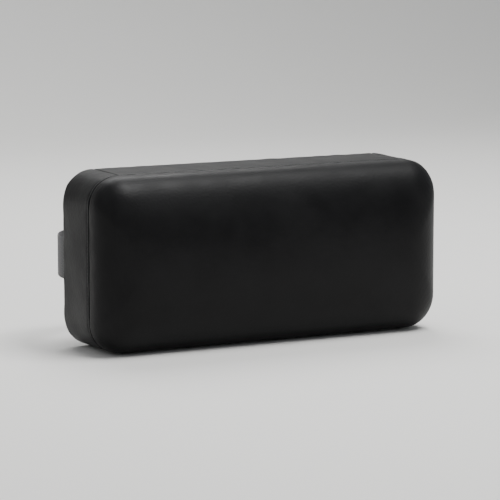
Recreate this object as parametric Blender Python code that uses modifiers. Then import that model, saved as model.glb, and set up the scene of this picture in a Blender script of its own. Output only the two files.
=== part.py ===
"""Lumbar support cushion that straps to the back of a desk chair.

A foam core sits in a sewn leatherette cover: a crowned front panel, a band of four
strips and a back panel that a coil zip divides in two. A webbing strap leaves both end
seams, passes behind the chair and closes with a side-release buckle. A slide adjuster
sets its length.

Units are metres. +Z is up, the cushion faces -Y, and the origin is the centre of its
flat rear face. Left is the -X end and right is the +X end.
"""

import math

import bmesh
import bpy
from mathutils import Matrix, Vector

# --- Driving dimensions -------------------------------------------------------------

GAP = 0.0003  # between two faces that touch on the real object

# Cushion
LENGTH = 0.350
HEIGHT = 0.160
BAND_DEPTH = 0.055  # flat rear face to front seam
CROWN = 0.040  # front seam to the fullest point
CORNER_RADIUS = 0.028  # of the outline, seen from the front
END_ROUNDING = 0.045  # how far each end of the front panel slopes in
SEAM_LIP = 0.003  # straight edge of the front panel beside its seam
BAND_LIP = 0.002  # straight end of an end strip, past its corner
COVER = 0.0018  # leatherette with its backing
FOAM_CLEARANCE = 0.0005
DOME_POWER = 0.87  # 1 gives an elliptical front, less gives a fuller one
DOME_LAST_ANGLE = math.radians(78)
DOME_RINGS = 8
CORNER_STEPS = 6

# Zip, along X in the back panel
ZIP_RISE = 0.034  # its centre line, above the lower edge of the cushion
ZIP_MARGIN = 0.001  # from the slider to each part of the back panel
TAPE_WIDTH = 0.013
TAPE = 0.0007
TAPE_SLIT = 0.0016
COIL_SLIT = 0.0012
COIL_WIDTH = 0.0026
COIL = 0.0016
STOP_INSET = 0.009  # end of the coils, from the end of the tapes
STOP_LENGTH = 0.003
STOP_PROUD = 0.0006
SLIDER_LENGTH = 0.012
SLIDER_PLATE = 0.0014
SLIDER_NECK = 0.0006
SLIDER_FLANGE = 0.0010
SLIDER_START_GAP = 0.0005  # to the right stop when the zip is closed
BRIDGE_LENGTH = 0.0084
BRIDGE_WIDTH = 0.0024
BRIDGE_POST = 0.0012
BRIDGE_BAR = 0.0008
PULL_LENGTH = 0.030
PULL_WIDTH = 0.0076
PULL = 0.0012
PULL_EYE_LENGTH = 0.0064
PULL_EYE_WIDTH = 0.0038
PULL_CORNER = 0.0022
PULL_SWING_CLEARANCE = 0.00015

# Strap
STRAP_WIDTH = 0.038
STRAP = 0.0014
STRAP_SEAM_DEPTH = 0.014  # sewn length inside the end seam
STRAP_RISE = 0.002  # straight out of the seam before the turn
TURN_LENGTH = 0.048  # along X, from the seam to the straight run
TURN_STEPS = 12
BAR_TURN_STEPS = 8
HEM_SLOPE = 0.010
HEM_LENGTH = 0.026
TAIL_HEM_LENGTH = 0.008
TAIL_WRAP_END = 120  # degrees round the adjuster's pin, past its -X side
ANCHOR = 0.0012
ANCHOR_LENGTH = 0.013
ANCHOR_MARGIN = 0.002  # of strap beyond the patch at each edge

# Side-release buckle
BUCKLE_Y = 0.056  # its middle plane, behind the rear face
BUCKLE_THICKNESS = 0.011
BUCKLE_CHEEK = 0.0054
BUCKLE_EDGE = 0.0018
SLOT_CLEARANCE = 0.0006  # from each strap edge to a buckle cheek or adjuster rail
MOUTH_X = 0.018
SOCKET_LENGTH = 0.044
SOCKET_WALL = 0.0020
SOCKET_SIDE_WALL = 0.0025
WINDOW_LENGTH = 0.016
WINDOW_INSET = 0.008  # from the mouth
BAR_WIDTH = 0.005
BAR = 0.0032
BAR_SLOT = 0.005
PLUG_LENGTH = 0.0197
TONGUE_LENGTH = 0.018
TONGUE_WIDTH = 0.007
TONGUE = 0.0036
PRONG_SIDE_CLEARANCE = 0.0006  # in the socket, along Y
PRONG_Z = 0.013  # root axis, from the buckle's centre line
PRONG_ROOT_RADIUS = 0.002
PRONG_ROOT_DEPTH = 0.0025  # root axis, inside the plug
PRONG_ARM = 0.0032
PRONG_NOSE_LENGTH = 0.0048
PRONG_NOSE_ROUNDING = 0.0012
PRONG_BUTTON_INSET = 0.0006  # inside the socket's outline
PRONG_CATCH_GAP = 0.0006
PRONG_BUTTON_SLOPE = 0.0030

# Slide adjuster
ADJUSTER_X = -0.078
ADJUSTER_LENGTH = 0.020
ADJUSTER_BAR = 0.0030
ADJUSTER_RAIL = 0.0030
ADJUSTER_TOP = 0.0022
ADJUSTER_PIN_RADIUS = 0.0013
PIN_SIDES = 16

OVERLAP = 0.0005  # of shapes that a union joins, and of cutters past a face

# --- Places worked out from them ----------------------------------------------------

HALF_X = LENGTH / 2
HALF_Z = HEIGHT / 2
ZIP_Z = ZIP_RISE - HALF_Z
COVER_INSIDE_X = HALF_X - COVER - GAP
COVER_INSIDE_Z = HALF_Z - COVER - GAP
STRAP_X = COVER_INSIDE_X - STRAP / 2  # in the end seam
BACK_HALF_X = STRAP_X - STRAP / 2 - GAP
ANCHOR_X = BACK_HALF_X  # outer face of the patch
FOAM_HALF_X = ANCHOR_X - ANCHOR - FOAM_CLEARANCE
FOAM_HALF_Z = HALF_Z - COVER - FOAM_CLEARANCE

SLIDER_WIDTH = 2 * (COIL_SLIT / 2 + COIL_WIDTH + GAP + SLIDER_FLANGE)
ZIP_OPENING = SLIDER_WIDTH + 2 * ZIP_MARGIN  # between the two parts of the back panel
COVER_RADIUS = CORNER_RADIUS - COVER - GAP  # inside the band
TAPE_DROP = max(0.0, CORNER_RADIUS - ZIP_RISE + TAPE_SLIT / 2 + TAPE_WIDTH)  # below the corner's centre
TAPE_CORNER_X = HALF_X - CORNER_RADIUS + math.sqrt(COVER_RADIUS**2 - TAPE_DROP**2)
TAPE_HALF_X = min(BACK_HALF_X, TAPE_CORNER_X)
TAPE_TOP_Y = -COVER - GAP
TAPE_BOTTOM_Y = TAPE_TOP_Y - TAPE
COIL_BASE_Y = TAPE_TOP_Y + GAP
COIL_TOP_Y = COIL_BASE_Y + COIL
SLIDER_TOP_Y = COIL_TOP_Y + GAP + SLIDER_PLATE
SLIDER_BOTTOM_Y = TAPE_BOTTOM_Y - GAP - SLIDER_PLATE
FOAM_BACK_Y = SLIDER_BOTTOM_Y - FOAM_CLEARANCE
COIL_END_X = TAPE_HALF_X - STOP_INSET
SLIDER_X = COIL_END_X - SLIDER_START_GAP - SLIDER_LENGTH / 2
PULL_REACH = PULL / math.sqrt(2) + PULL_SWING_CLEARANCE
PULL_Y = SLIDER_TOP_Y + PULL_REACH

BAR_TURN_RADIUS = BAR / 2 + GAP + STRAP / 2
STRAP_Y = BUCKLE_Y + BAR_TURN_RADIUS  # straight run
RETURN_Y = BUCKLE_Y - BAR_TURN_RADIUS
CHEEK_Z = STRAP_WIDTH / 2 + SLOT_CLEARANCE  # inner face of a cheek or rail
BUCKLE_HALF_Z = CHEEK_Z + BUCKLE_CHEEK
SOCKET_BACK_X = MOUTH_X - SOCKET_LENGTH
SOCKET_BAR_X = SOCKET_BACK_X + BAR_WIDTH
SOCKET_SLOT_X = SOCKET_BAR_X + BAR_SLOT
CAVITY_BACK_X = SOCKET_SLOT_X + SOCKET_WALL
CAVITY_HALF_Y = BUCKLE_THICKNESS / 2 - SOCKET_WALL
CAVITY_HALF_Z = BUCKLE_HALF_Z - SOCKET_SIDE_WALL
PRONG = 2 * (CAVITY_HALF_Y - PRONG_SIDE_CLEARANCE)  # thickness, along Y
WINDOW_X = MOUTH_X - WINDOW_INSET
PLUG_X = MOUTH_X + GAP
PLUG_END_X = PLUG_X + PLUG_LENGTH
PLUG_BAR_X = PLUG_END_X - BAR_WIDTH
PLUG_SLOT_X = PLUG_BAR_X - BAR_SLOT
PRONG_ROOT_X = PLUG_X + PRONG_ROOT_DEPTH

PIN_TURN_RADIUS = ADJUSTER_PIN_RADIUS + GAP + STRAP / 2
ADJUSTER_PIN_Y = STRAP_Y - STRAP / 2 - GAP - STRAP / 2 - PIN_TURN_RADIUS

# --- Materials: colour, roughness, metallic ------------------------------------------

FINISHES = {
    "leatherette": ((0.012, 0.012, 0.013), 0.42, 0.0),
    "back_leatherette": ((0.013, 0.013, 0.014), 0.55, 0.0),
    "foam": ((0.62, 0.58, 0.48), 0.95, 0.0),
    "zip_tape": ((0.014, 0.014, 0.015), 0.85, 0.0),
    "zip_coil": ((0.018, 0.018, 0.019), 0.45, 0.0),
    "zip_metal": ((0.050, 0.050, 0.054), 0.35, 1.0),
    "webbing": ((0.014, 0.014, 0.015), 0.80, 0.0),
    "buckle_plastic": ((0.016, 0.016, 0.017), 0.38, 0.0),
}

# --- Scene and shared tools -----------------------------------------------------------


def clear_scene():
    for obj in list(bpy.data.objects):
        bpy.data.objects.remove(obj, do_unlink=True)


def new_collection(name):
    collection = bpy.data.collections.new(name)
    bpy.context.scene.collection.children.link(collection)
    return collection


def make_material(name):
    colour, roughness, metallic = FINISHES[name]
    material = bpy.data.materials.new(name)
    material.use_nodes = True
    shader = material.node_tree.nodes["Principled BSDF"]
    shader.inputs["Base Color"].default_value = (*colour, 1.0)
    shader.inputs["Roughness"].default_value = roughness
    shader.inputs["Metallic"].default_value = metallic
    return material


def add_object(name, data, finish=None):
    """A part if it has a finish, or else a hidden tool for a Boolean."""
    obj = bpy.data.objects.new(name, data)
    if finish:
        data.materials.append(MATERIALS[finish])
        PARTS.objects.link(obj)
    else:
        obj.hide_render = True
        obj.display_type = "WIRE"
        CUTTERS.objects.link(obj)
    return obj


def mesh_of(name, bm):
    mesh = bpy.data.meshes.new(name)
    bm.to_mesh(mesh)
    bm.free()
    return mesh


def add_box(name, low, high, finish=None):
    """A box between two opposite corners."""
    low, high = Vector(low), Vector(high)
    place = Matrix.Translation((low + high) / 2) @ Matrix.Diagonal((*(high - low), 1.0))
    bm = bmesh.new()
    bmesh.ops.create_cube(bm, size=1.0, matrix=place)
    return add_object(name, mesh_of(name, bm), finish)


def add_pin(name, centre, radius, length):
    """A cylinder along Z."""
    bm = bmesh.new()
    bmesh.ops.create_cone(
        bm,
        cap_ends=True,
        segments=PIN_SIDES,
        radius1=radius,
        radius2=radius,
        depth=length,
        matrix=Matrix.Translation(centre),
    )
    return add_object(name, mesh_of(name, bm))


def add_ribbon(name, path, across, low, high, thickness, offset, finish):
    """A sheet along a path, from low to high in the direction across, given a thickness."""
    bm = bmesh.new()
    edges = [[bm.verts.new(Vector(p) + across * reach) for p in path] for reach in (low, high)]
    for i in range(len(path) - 1):
        bm.faces.new((edges[0][i], edges[0][i + 1], edges[1][i + 1], edges[1][i]))
    obj = add_object(name, mesh_of(name, bm), finish)
    thicken(obj, thickness, offset)
    return obj


def add_plate(name, outlines, y, thickness, finish):
    """A flat plate in the XZ plane about y. The first outline is its edge and any others are holes."""
    curve = bpy.data.curves.new(name, "CURVE")
    curve.dimensions = "2D"
    curve.fill_mode = "BOTH"
    curve.extrude = thickness / 2
    for outline in outlines:
        spline = curve.splines.new("POLY")
        spline.points.add(len(outline) - 1)
        for point, (x, z) in zip(spline.points, outline):
            point.co = (x, z, 0.0, 1.0)
        spline.use_cyclic_u = True
    obj = add_object(name, curve, finish)
    obj.rotation_euler = (math.pi / 2, 0.0, 0.0)
    obj.location = (0.0, y, 0.0)
    return obj


def thicken(obj, thickness, offset):
    solidify = obj.modifiers.new("thickness", "SOLIDIFY")
    solidify.thickness = thickness
    solidify.offset = offset
    solidify.use_even_offset = True


def round_edges(obj, width):
    bevel = obj.modifiers.new("rounded edges", "BEVEL")
    bevel.width = width
    bevel.segments = 2
    bevel.limit_method = "ANGLE"


def combine(obj, tool, operation):
    boolean = obj.modifiers.new(tool.name, "BOOLEAN")
    boolean.operation = operation
    boolean.solver = "EXACT"
    boolean.object = tool


def smooth(obj):
    obj.data.shade_smooth()
    obj.data.set_sharp_from_angle(angle=math.radians(35))


def put_origin(obj, point):
    """Moves the origin of an unrotated mesh object, whose shape stays where it is."""
    obj.data.transform(Matrix.Translation(-Vector(point)))
    obj.location = point


def carry(parent, child):
    """Parents one object to another that isn't rotated, and leaves it where it is."""
    child.parent = parent
    child.location = Vector(child.location) - Vector(parent.location)


def arc(centre, radius_x, radius_y, start, end, steps):
    """Points of an elliptical arc, from one angle in degrees to another."""
    angles = [math.radians(start + (end - start) * i / steps) for i in range(steps + 1)]
    return [(centre[0] + radius_x * math.cos(a), centre[1] + radius_y * math.sin(a)) for a in angles]


def rounded_rectangle(low, high, radius, steps=CORNER_STEPS):
    """Outline of a rectangle with round corners, anticlockwise."""
    outline = []
    for quarter, (x, z) in enumerate(((1, 1), (0, 1), (0, 0), (1, 0))):
        centre = (
            high[0] - radius if x else low[0] + radius,
            high[1] - radius if z else low[1] + radius,
        )
        outline += arc(centre, radius, radius, 90 * quarter, 90 * (quarter + 1), steps)
    return outline


def clip(outline, height, keep_above):
    """The part of a convex outline on one side of a level line."""
    side = 1 if keep_above else -1
    kept = []
    for (x0, z0), (x1, z1) in zip(outline, outline[1:] + outline[:1]):
        if side * (z0 - height) >= 0:
            kept.append((x0, z0))
        if (z0 - height) * (z1 - height) < 0:
            share = (height - z0) / (z1 - z0)
            kept.append((x0 + share * (x1 - x0), height))
    return kept


# --- Cushion --------------------------------------------------------------------------


def outline_ring(half_x, half_z, radius, y):
    outline = rounded_rectangle((-half_x, -half_z), (half_x, half_z), radius)
    return [(x, y, z) for x, z in outline]


def dome_rings(half_x, half_z, radius, start_y, crown):
    """Rings that close in from the front seam to the crown along a superellipse."""
    rings = []
    fullest = math.sin(DOME_LAST_ANGLE) ** DOME_POWER
    for step in range(DOME_RINGS):
        angle = DOME_LAST_ANGLE * step / (DOME_RINGS - 1)
        share = math.cos(angle) ** DOME_POWER
        forward = math.sin(angle) ** DOME_POWER / fullest
        ring_half_x = half_x - END_ROUNDING * (1 - share)
        ring = outline_ring(ring_half_x, half_z * share, radius * share, start_y - crown * forward)
        rings.append(ring)
    return rings


def add_loft(name, rings, close_rear, finish):
    """A surface through rings of equal count, closed at the last and, if asked, at the first."""
    bm = bmesh.new()
    loops = [[bm.verts.new(point) for point in ring] for ring in rings]
    for near, far in zip(loops, loops[1:]):
        for i in range(len(near)):
            j = (i + 1) % len(near)
            bm.faces.new((near[i], near[j], far[j], far[i]))
    bm.faces.new(loops[-1])
    if close_rear:
        bm.faces.new(reversed(loops[0]))
    return add_object(name, mesh_of(name, bm), finish)


def build_foam():
    radius = CORNER_RADIUS - COVER - FOAM_CLEARANCE
    crown = CROWN - SEAM_LIP - COVER - FOAM_CLEARANCE
    start_y = -BAND_DEPTH - SEAM_LIP
    rings = [outline_ring(FOAM_HALF_X, FOAM_HALF_Z, radius, FOAM_BACK_Y)]
    rings += dome_rings(FOAM_HALF_X, FOAM_HALF_Z, radius, start_y, crown)
    smooth(add_loft("foam_core", rings, True, "foam"))


def build_front_panel():
    seam_y = -BAND_DEPTH - GAP
    start_y = -BAND_DEPTH - SEAM_LIP
    rings = [outline_ring(HALF_X, HALF_Z, CORNER_RADIUS, seam_y)]
    rings += dome_rings(HALF_X, HALF_Z, CORNER_RADIUS, start_y, CROWN - SEAM_LIP)
    panel = add_loft("front_panel", rings, False, "leatherette")
    thicken(panel, COVER, -1)
    smooth(panel)


def build_band():
    """The four strips between the front panel and the back panel."""
    lip_x = HALF_X - CORNER_RADIUS - BAND_LIP
    straight = lip_x - GAP
    for name, outer in (("top_gusset", HALF_Z), ("bottom_gusset", -HALF_Z)):
        inner = outer - math.copysign(COVER, outer)
        low = (-straight, -BAND_DEPTH, min(inner, outer))
        high = (straight, 0.0, max(inner, outer))
        add_box(name, low, high, "leatherette")
    outline = rounded_rectangle((-HALF_X, -HALF_Z), (HALF_X, HALF_Z), CORNER_RADIUS)
    corner = CORNER_STEPS + 1
    ends = {
        "right_end_panel": outline[:corner][::-1] + outline[3 * corner :][::-1],
        "left_end_panel": outline[corner : 3 * corner][::-1],
    }
    for name, path in ends.items():
        lip = math.copysign(lip_x, path[0][0])
        path = [(lip, 0.0, path[0][1]), *[(x, 0.0, z) for x, z in path], (lip, 0.0, path[-1][1])]
        across = Vector((0.0, 1.0, 0.0))
        smooth(add_ribbon(name, path, across, -BAND_DEPTH, 0.0, COVER, -1, "leatherette"))


def build_back():
    """The two parts of the flat back panel, above and below the zip."""
    corner = (BACK_HALF_X, COVER_INSIDE_Z)
    outline = rounded_rectangle((-corner[0], -corner[1]), corner, COVER_RADIUS)
    upper = clip(outline, ZIP_Z + ZIP_OPENING / 2, True)
    lower = clip(outline, ZIP_Z - ZIP_OPENING / 2, False)
    add_plate("back_panel_upper", [upper], -COVER / 2, COVER, "back_leatherette")
    add_plate("back_panel_lower", [lower], -COVER / 2, COVER, "back_leatherette")


# --- Zip ------------------------------------------------------------------------------


def build_zip():
    """Each tape and coil on its side of the zip's centre line, and the stops at its ends."""
    for name, side in (("upper", 1), ("lower", -1)):
        tape = sorted(ZIP_Z + side * (TAPE_SLIT / 2 + edge) for edge in (0, TAPE_WIDTH))
        low = (-TAPE_HALF_X, TAPE_BOTTOM_Y, tape[0])
        high = (TAPE_HALF_X, TAPE_TOP_Y, tape[1])
        add_box("zip_tape_" + name, low, high, "zip_tape")
        coil = sorted(ZIP_Z + side * (COIL_SLIT / 2 + edge) for edge in (0, COIL_WIDTH))
        low = (-COIL_END_X, COIL_BASE_Y, coil[0])
        high = (COIL_END_X, COIL_TOP_Y, coil[1])
        add_box("zip_coil_" + name, low, high, "zip_coil")
    half_z = COIL_SLIT / 2 + COIL_WIDTH
    for name, side in (("right", 1), ("left", -1)):
        ends = sorted(side * (COIL_END_X + GAP + edge) for edge in (0, STOP_LENGTH))
        low = (ends[0], COIL_BASE_Y, ZIP_Z - half_z)
        high = (ends[1], COIL_TOP_Y + STOP_PROUD, ZIP_Z + half_z)
        add_box("zip_stop_" + name, low, high, "zip_metal")


def slider_box(name, half_x, low_y, high_y, half_z, finish=None, centre_x=0.0, centre_z=0.0):
    """A box of the slider, whose X and Z are counted from the slider's centre."""
    low = (SLIDER_X + centre_x - half_x, low_y, ZIP_Z + centre_z - half_z)
    high = (SLIDER_X + centre_x + half_x, high_y, ZIP_Z + centre_z + half_z)
    return add_box(name, low, high, finish)


def build_slider():
    """Two plates that a neck joins, flanges beside the coils, and a bridge for the pull."""
    half_x, half_z = SLIDER_LENGTH / 2, SLIDER_WIDTH / 2
    top_low_y = SLIDER_TOP_Y - SLIDER_PLATE
    bottom_high_y = SLIDER_BOTTOM_Y + SLIDER_PLATE
    slider = slider_box("zip_slider", half_x, top_low_y, SLIDER_TOP_Y, half_z, "zip_metal")
    low_y, high_y = bottom_high_y - OVERLAP, top_low_y + OVERLAP
    bottom = slider_box("slider_bottom", half_x, SLIDER_BOTTOM_Y, bottom_high_y, half_z)
    neck = slider_box("slider_neck", BRIDGE_POST, low_y, high_y, SLIDER_NECK / 2)
    tools = [neck, bottom]
    flange_z = half_z - SLIDER_FLANGE / 2
    bridge_y = PULL_Y + PULL_REACH
    for name, side in (("a", 1), ("b", -1)):
        flange = slider_box(
            "slider_flange_" + name,
            half_x,
            COIL_BASE_Y,
            high_y,
            SLIDER_FLANGE / 2,
            centre_z=side * flange_z,
        )
        post = slider_box(
            "slider_post_" + name,
            BRIDGE_POST / 2,
            SLIDER_TOP_Y - OVERLAP,
            bridge_y + BRIDGE_BAR,
            BRIDGE_WIDTH / 2,
            centre_x=side * (BRIDGE_LENGTH - BRIDGE_POST) / 2,
        )
        tools += [flange, post]
    bar_half_x = BRIDGE_LENGTH / 2 - BRIDGE_POST / 2
    bar = slider_box("slider_bar", bar_half_x, bridge_y, bridge_y + BRIDGE_BAR, BRIDGE_WIDTH / 2)
    for tool in [*tools, bar]:
        combine(slider, tool, "UNION")
    put_origin(slider, (SLIDER_X, SLIDER_TOP_Y, ZIP_Z))
    return slider


def build_pull(slider):
    """A flat tab. The bar at the end of its eye turns under the slider's bridge."""
    bar = PULL / 2
    tab = rounded_rectangle((bar - PULL_LENGTH, -PULL_WIDTH / 2), (bar, PULL_WIDTH / 2), PULL_CORNER)
    eye_corner = (-bar - PULL_EYE_LENGTH, -PULL_EYE_WIDTH / 2)
    eye = rounded_rectangle(eye_corner, (-bar, PULL_EYE_WIDTH / 2), PULL / 2, 2)
    pull = add_plate("zip_pull", [tab, eye], 0.0, PULL, "zip_metal")
    pull.location = (SLIDER_X, PULL_Y, ZIP_Z)
    carry(slider, pull)


# --- Strap ----------------------------------------------------------------------------


def add_webbing(name, path):
    """A strap of the full width, upright along a path in the XY plane."""
    path = [(x, y, 0.0) for x, y in path]
    half = STRAP_WIDTH / 2
    strap = add_ribbon(name, path, Vector((0.0, 0.0, 1.0)), -half, half, STRAP, 0, "webbing")
    smooth(strap)


def seam_turn(side):
    """The path from inside an end seam, out of it and round to the straight run."""
    centre = (side * (STRAP_X - TURN_LENGTH), STRAP_RISE)
    turn = arc(centre, side * TURN_LENGTH, STRAP_Y - STRAP_RISE, 0, 90, TURN_STEPS)
    return [(side * STRAP_X, -STRAP_SEAM_DEPTH), (side * STRAP_X, 0.0), *turn]


def bar_turn(bar_end_x, side):
    """Half a turn round the end of a buckle bar, from the straight run to the return."""
    radius = BAR_TURN_RADIUS
    return arc((bar_end_x, BUCKLE_Y), side * radius, radius, 90, -90, BAR_TURN_STEPS)


def build_straps():
    split_x = SOCKET_BAR_X - STRAP
    left = seam_turn(-1) + bar_turn(SOCKET_BAR_X, 1) + [(split_x, RETURN_Y)]
    add_webbing("left_strap", left)

    pin = (ADJUSTER_X, ADJUSTER_PIN_Y)
    wrap = arc(pin, -PIN_TURN_RADIUS, PIN_TURN_RADIUS, -90, TAIL_WRAP_END, 2 * BAR_TURN_STEPS)
    hem_y = ADJUSTER_PIN_Y - PIN_TURN_RADIUS + STRAP + 2 * GAP
    slope = math.tan(math.radians(TAIL_WRAP_END - 90))
    hem_x = wrap[-1][0] + (wrap[-1][1] - hem_y) / slope
    hem = [(hem_x, hem_y), (hem_x + TAIL_HEM_LENGTH, hem_y)]
    add_webbing("strap_tail", [(split_x - GAP, RETURN_Y), *wrap, *hem])

    turn = bar_turn(PLUG_BAR_X, -1)
    hem_y = STRAP_Y - STRAP - GAP
    hem_x = PLUG_END_X + HEM_SLOPE
    hem = [(PLUG_END_X, RETURN_Y), (hem_x, hem_y), (hem_x + HEM_LENGTH, hem_y)]
    add_webbing("right_strap", seam_turn(1) + turn + hem)


def build_anchors():
    """The patch that backs each strap's end, inside its seam."""
    half_z = STRAP_WIDTH / 2 - ANCHOR_MARGIN
    high_y = TAPE_TOP_Y
    for name, side in (("left", -1), ("right", 1)):
        ends = sorted((side * ANCHOR_X, side * (ANCHOR_X - ANCHOR)))
        low = (ends[0], high_y - ANCHOR_LENGTH, -half_z)
        add_box("strap_anchor_" + name, low, (ends[1], high_y, half_z), "back_leatherette")


# --- Side-release buckle --------------------------------------------------------------


def buckle_box(name, x, half_y, half_z, finish=None, y=0.0, z=0.0):
    """A box between two X values, whose Y and Z are counted from the buckle's centre."""
    low = (x[0], BUCKLE_Y + y - half_y, z - half_z)
    high = (x[1], BUCKLE_Y + y + half_y, z + half_z)
    return add_box(name, low, high, finish)


def cut_strap_bar(obj, slot, end):
    """Cuts the strap slot, and thins the bar between the slot and the piece's end."""
    half_y = BUCKLE_THICKNESS / 2 + OVERLAP
    combine(obj, buckle_box(obj.name + "_slot", sorted(slot), half_y, CHEEK_Z), "DIFFERENCE")
    pocket = sorted((slot[0], end))
    pocket_half = (half_y - BAR / 2) / 2
    for name, side in (("rear", 1), ("front", -1)):
        y = side * (BAR / 2 + pocket_half)
        tool = buckle_box(f"{obj.name}_{name}_pocket", pocket, pocket_half, CHEEK_Z, y=y)
        combine(obj, tool, "DIFFERENCE")


def build_socket():
    outside = (SOCKET_BACK_X, MOUTH_X)
    socket = buckle_box(
        "buckle_socket", outside, BUCKLE_THICKNESS / 2, BUCKLE_HALF_Z, "buckle_plastic"
    )
    round_edges(socket, BUCKLE_EDGE)
    cut_strap_bar(socket, (SOCKET_SLOT_X, SOCKET_BAR_X), SOCKET_BACK_X - OVERLAP)
    cavity = (CAVITY_BACK_X, MOUTH_X + OVERLAP)
    tool = buckle_box("socket_cavity", cavity, CAVITY_HALF_Y, CAVITY_HALF_Z)
    combine(socket, tool, "DIFFERENCE")
    window = (WINDOW_X - WINDOW_LENGTH, WINDOW_X)
    tool = buckle_box("socket_windows", window, CAVITY_HALF_Y, BUCKLE_HALF_Z + OVERLAP)
    combine(socket, tool, "DIFFERENCE")


def build_plug():
    outside = (PLUG_X, PLUG_END_X)
    plug = buckle_box(
        "buckle_plug", outside, BUCKLE_THICKNESS / 2, BUCKLE_HALF_Z, "buckle_plastic"
    )
    round_edges(plug, BUCKLE_EDGE)
    cut_strap_bar(plug, (PLUG_SLOT_X, PLUG_BAR_X), PLUG_END_X + OVERLAP)
    tongue = (PLUG_X - TONGUE_LENGTH, PLUG_X + OVERLAP)
    tool = buckle_box("plug_tongue", tongue, TONGUE / 2, TONGUE_WIDTH / 2)
    combine(plug, tool, "UNION")
    socket_depth = PRONG_ROOT_DEPTH + PRONG_ROOT_RADIUS + GAP
    pocket = (PLUG_X - OVERLAP, PLUG_X + socket_depth)
    half_z = PRONG_ROOT_RADIUS + GAP
    for name, side in (("upper", 1), ("lower", -1)):
        tool = buckle_box(
            f"plug_{name}_pocket", pocket, PRONG / 2 + GAP, half_z, z=side * PRONG_Z
        )
        combine(plug, tool, "DIFFERENCE")
    put_origin(plug, (PLUG_X, BUCKLE_Y, 0.0))
    return plug


def prong_outline():
    """A spring arm from its round root to a head with a catch, a thumb button and a nose."""
    arm = PRONG_ARM / 2
    inner = PRONG_ROOT_RADIUS
    meet = math.degrees(math.asin(arm / inner))
    root = arc((0.0, 0.0), inner, inner, meet - 180, 180 - meet, 3 * CORNER_STEPS)
    catch_x = WINDOW_X - PRONG_CATCH_GAP - PRONG_ROOT_X
    button_x = WINDOW_X - WINDOW_LENGTH + PRONG_CATCH_GAP - PRONG_ROOT_X
    button_z = BUCKLE_HALF_Z - PRONG_BUTTON_INSET - PRONG_Z
    catch_z = button_z - PRONG_BUTTON_SLOPE
    nose_x = button_x - PRONG_NOSE_LENGTH
    nose = arc((nose_x, 0.0), PRONG_NOSE_ROUNDING, arm, 90, 270, CORNER_STEPS)
    head = [
        (catch_x, arm),
        (catch_x, catch_z),
        (catch_x - PRONG_CATCH_GAP, button_z),
        (button_x + PRONG_BUTTON_SLOPE, button_z),
        (button_x, catch_z),
    ]
    return root + head + nose


def build_prongs(plug):
    outline = prong_outline()
    for name, side in (("upper", 1), ("lower", -1)):
        turned = [(x, side * z) for x, z in outline]
        prong = add_plate("buckle_prong_" + name, [turned], 0.0, PRONG, "buckle_plastic")
        prong.location = (PRONG_ROOT_X, BUCKLE_Y, side * PRONG_Z)
        carry(plug, prong)


# --- Slide adjuster -------------------------------------------------------------------


def build_adjuster():
    """Two side rails, two flat bars behind the strap and a pin in front of it."""
    half_x = ADJUSTER_LENGTH / 2
    bar_y = STRAP_Y + STRAP / 2 + GAP
    top_y = bar_y + ADJUSTER_TOP
    rail_z = (CHEEK_Z, CHEEK_Z + ADJUSTER_RAIL)
    low = (ADJUSTER_X - half_x, ADJUSTER_PIN_Y - ADJUSTER_PIN_RADIUS, rail_z[0])
    high = (ADJUSTER_X + half_x, top_y, rail_z[1])
    adjuster = add_box("strap_adjuster", low, high, "buckle_plastic")
    other = add_box(
        "adjuster_rail", (low[0], low[1], -rail_z[1]), (high[0], high[1], -rail_z[0])
    )
    reach = CHEEK_Z + ADJUSTER_RAIL / 2
    for name, side in (("left", -1), ("right", 1)):
        ends = sorted(ADJUSTER_X + side * edge for edge in (half_x - ADJUSTER_BAR, half_x))
        low, high = (ends[0], bar_y, -reach), (ends[1], top_y, reach)
        combine(adjuster, add_box(f"adjuster_{name}_bar", low, high), "UNION")
    centre = (ADJUSTER_X, ADJUSTER_PIN_Y, 0.0)
    pin = add_pin("adjuster_pin", centre, ADJUSTER_PIN_RADIUS, 2 * reach)
    combine(adjuster, other, "UNION")
    combine(adjuster, pin, "UNION")
    put_origin(adjuster, (ADJUSTER_X, STRAP_Y, 0.0))


# --- Build ----------------------------------------------------------------------------

clear_scene()
PARTS = new_collection("lumbar_support_cushion")
CUTTERS = new_collection("cutters")
MATERIALS = {name: make_material(name) for name in FINISHES}

build_foam()
build_front_panel()
build_band()
build_back()
build_zip()
build_pull(build_slider())
build_anchors()
build_straps()
build_socket()
build_prongs(build_plug())
build_adjuster()
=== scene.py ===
"""Looks of a lumbar support cushion: a sewn leatherette cover over foam, with a zip and a strap.

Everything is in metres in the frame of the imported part. +Z is up, the cushion faces -Y and
its flat rear face lies on Y = 0. Left is the -X end. Sizes of thread, grain and weave are
real ones in millimetres, unless a comment says that a pattern is drawn coarser.
"""

import logging
import math
from collections.abc import Sequence
from dataclasses import dataclass, field
from enum import Enum

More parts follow.
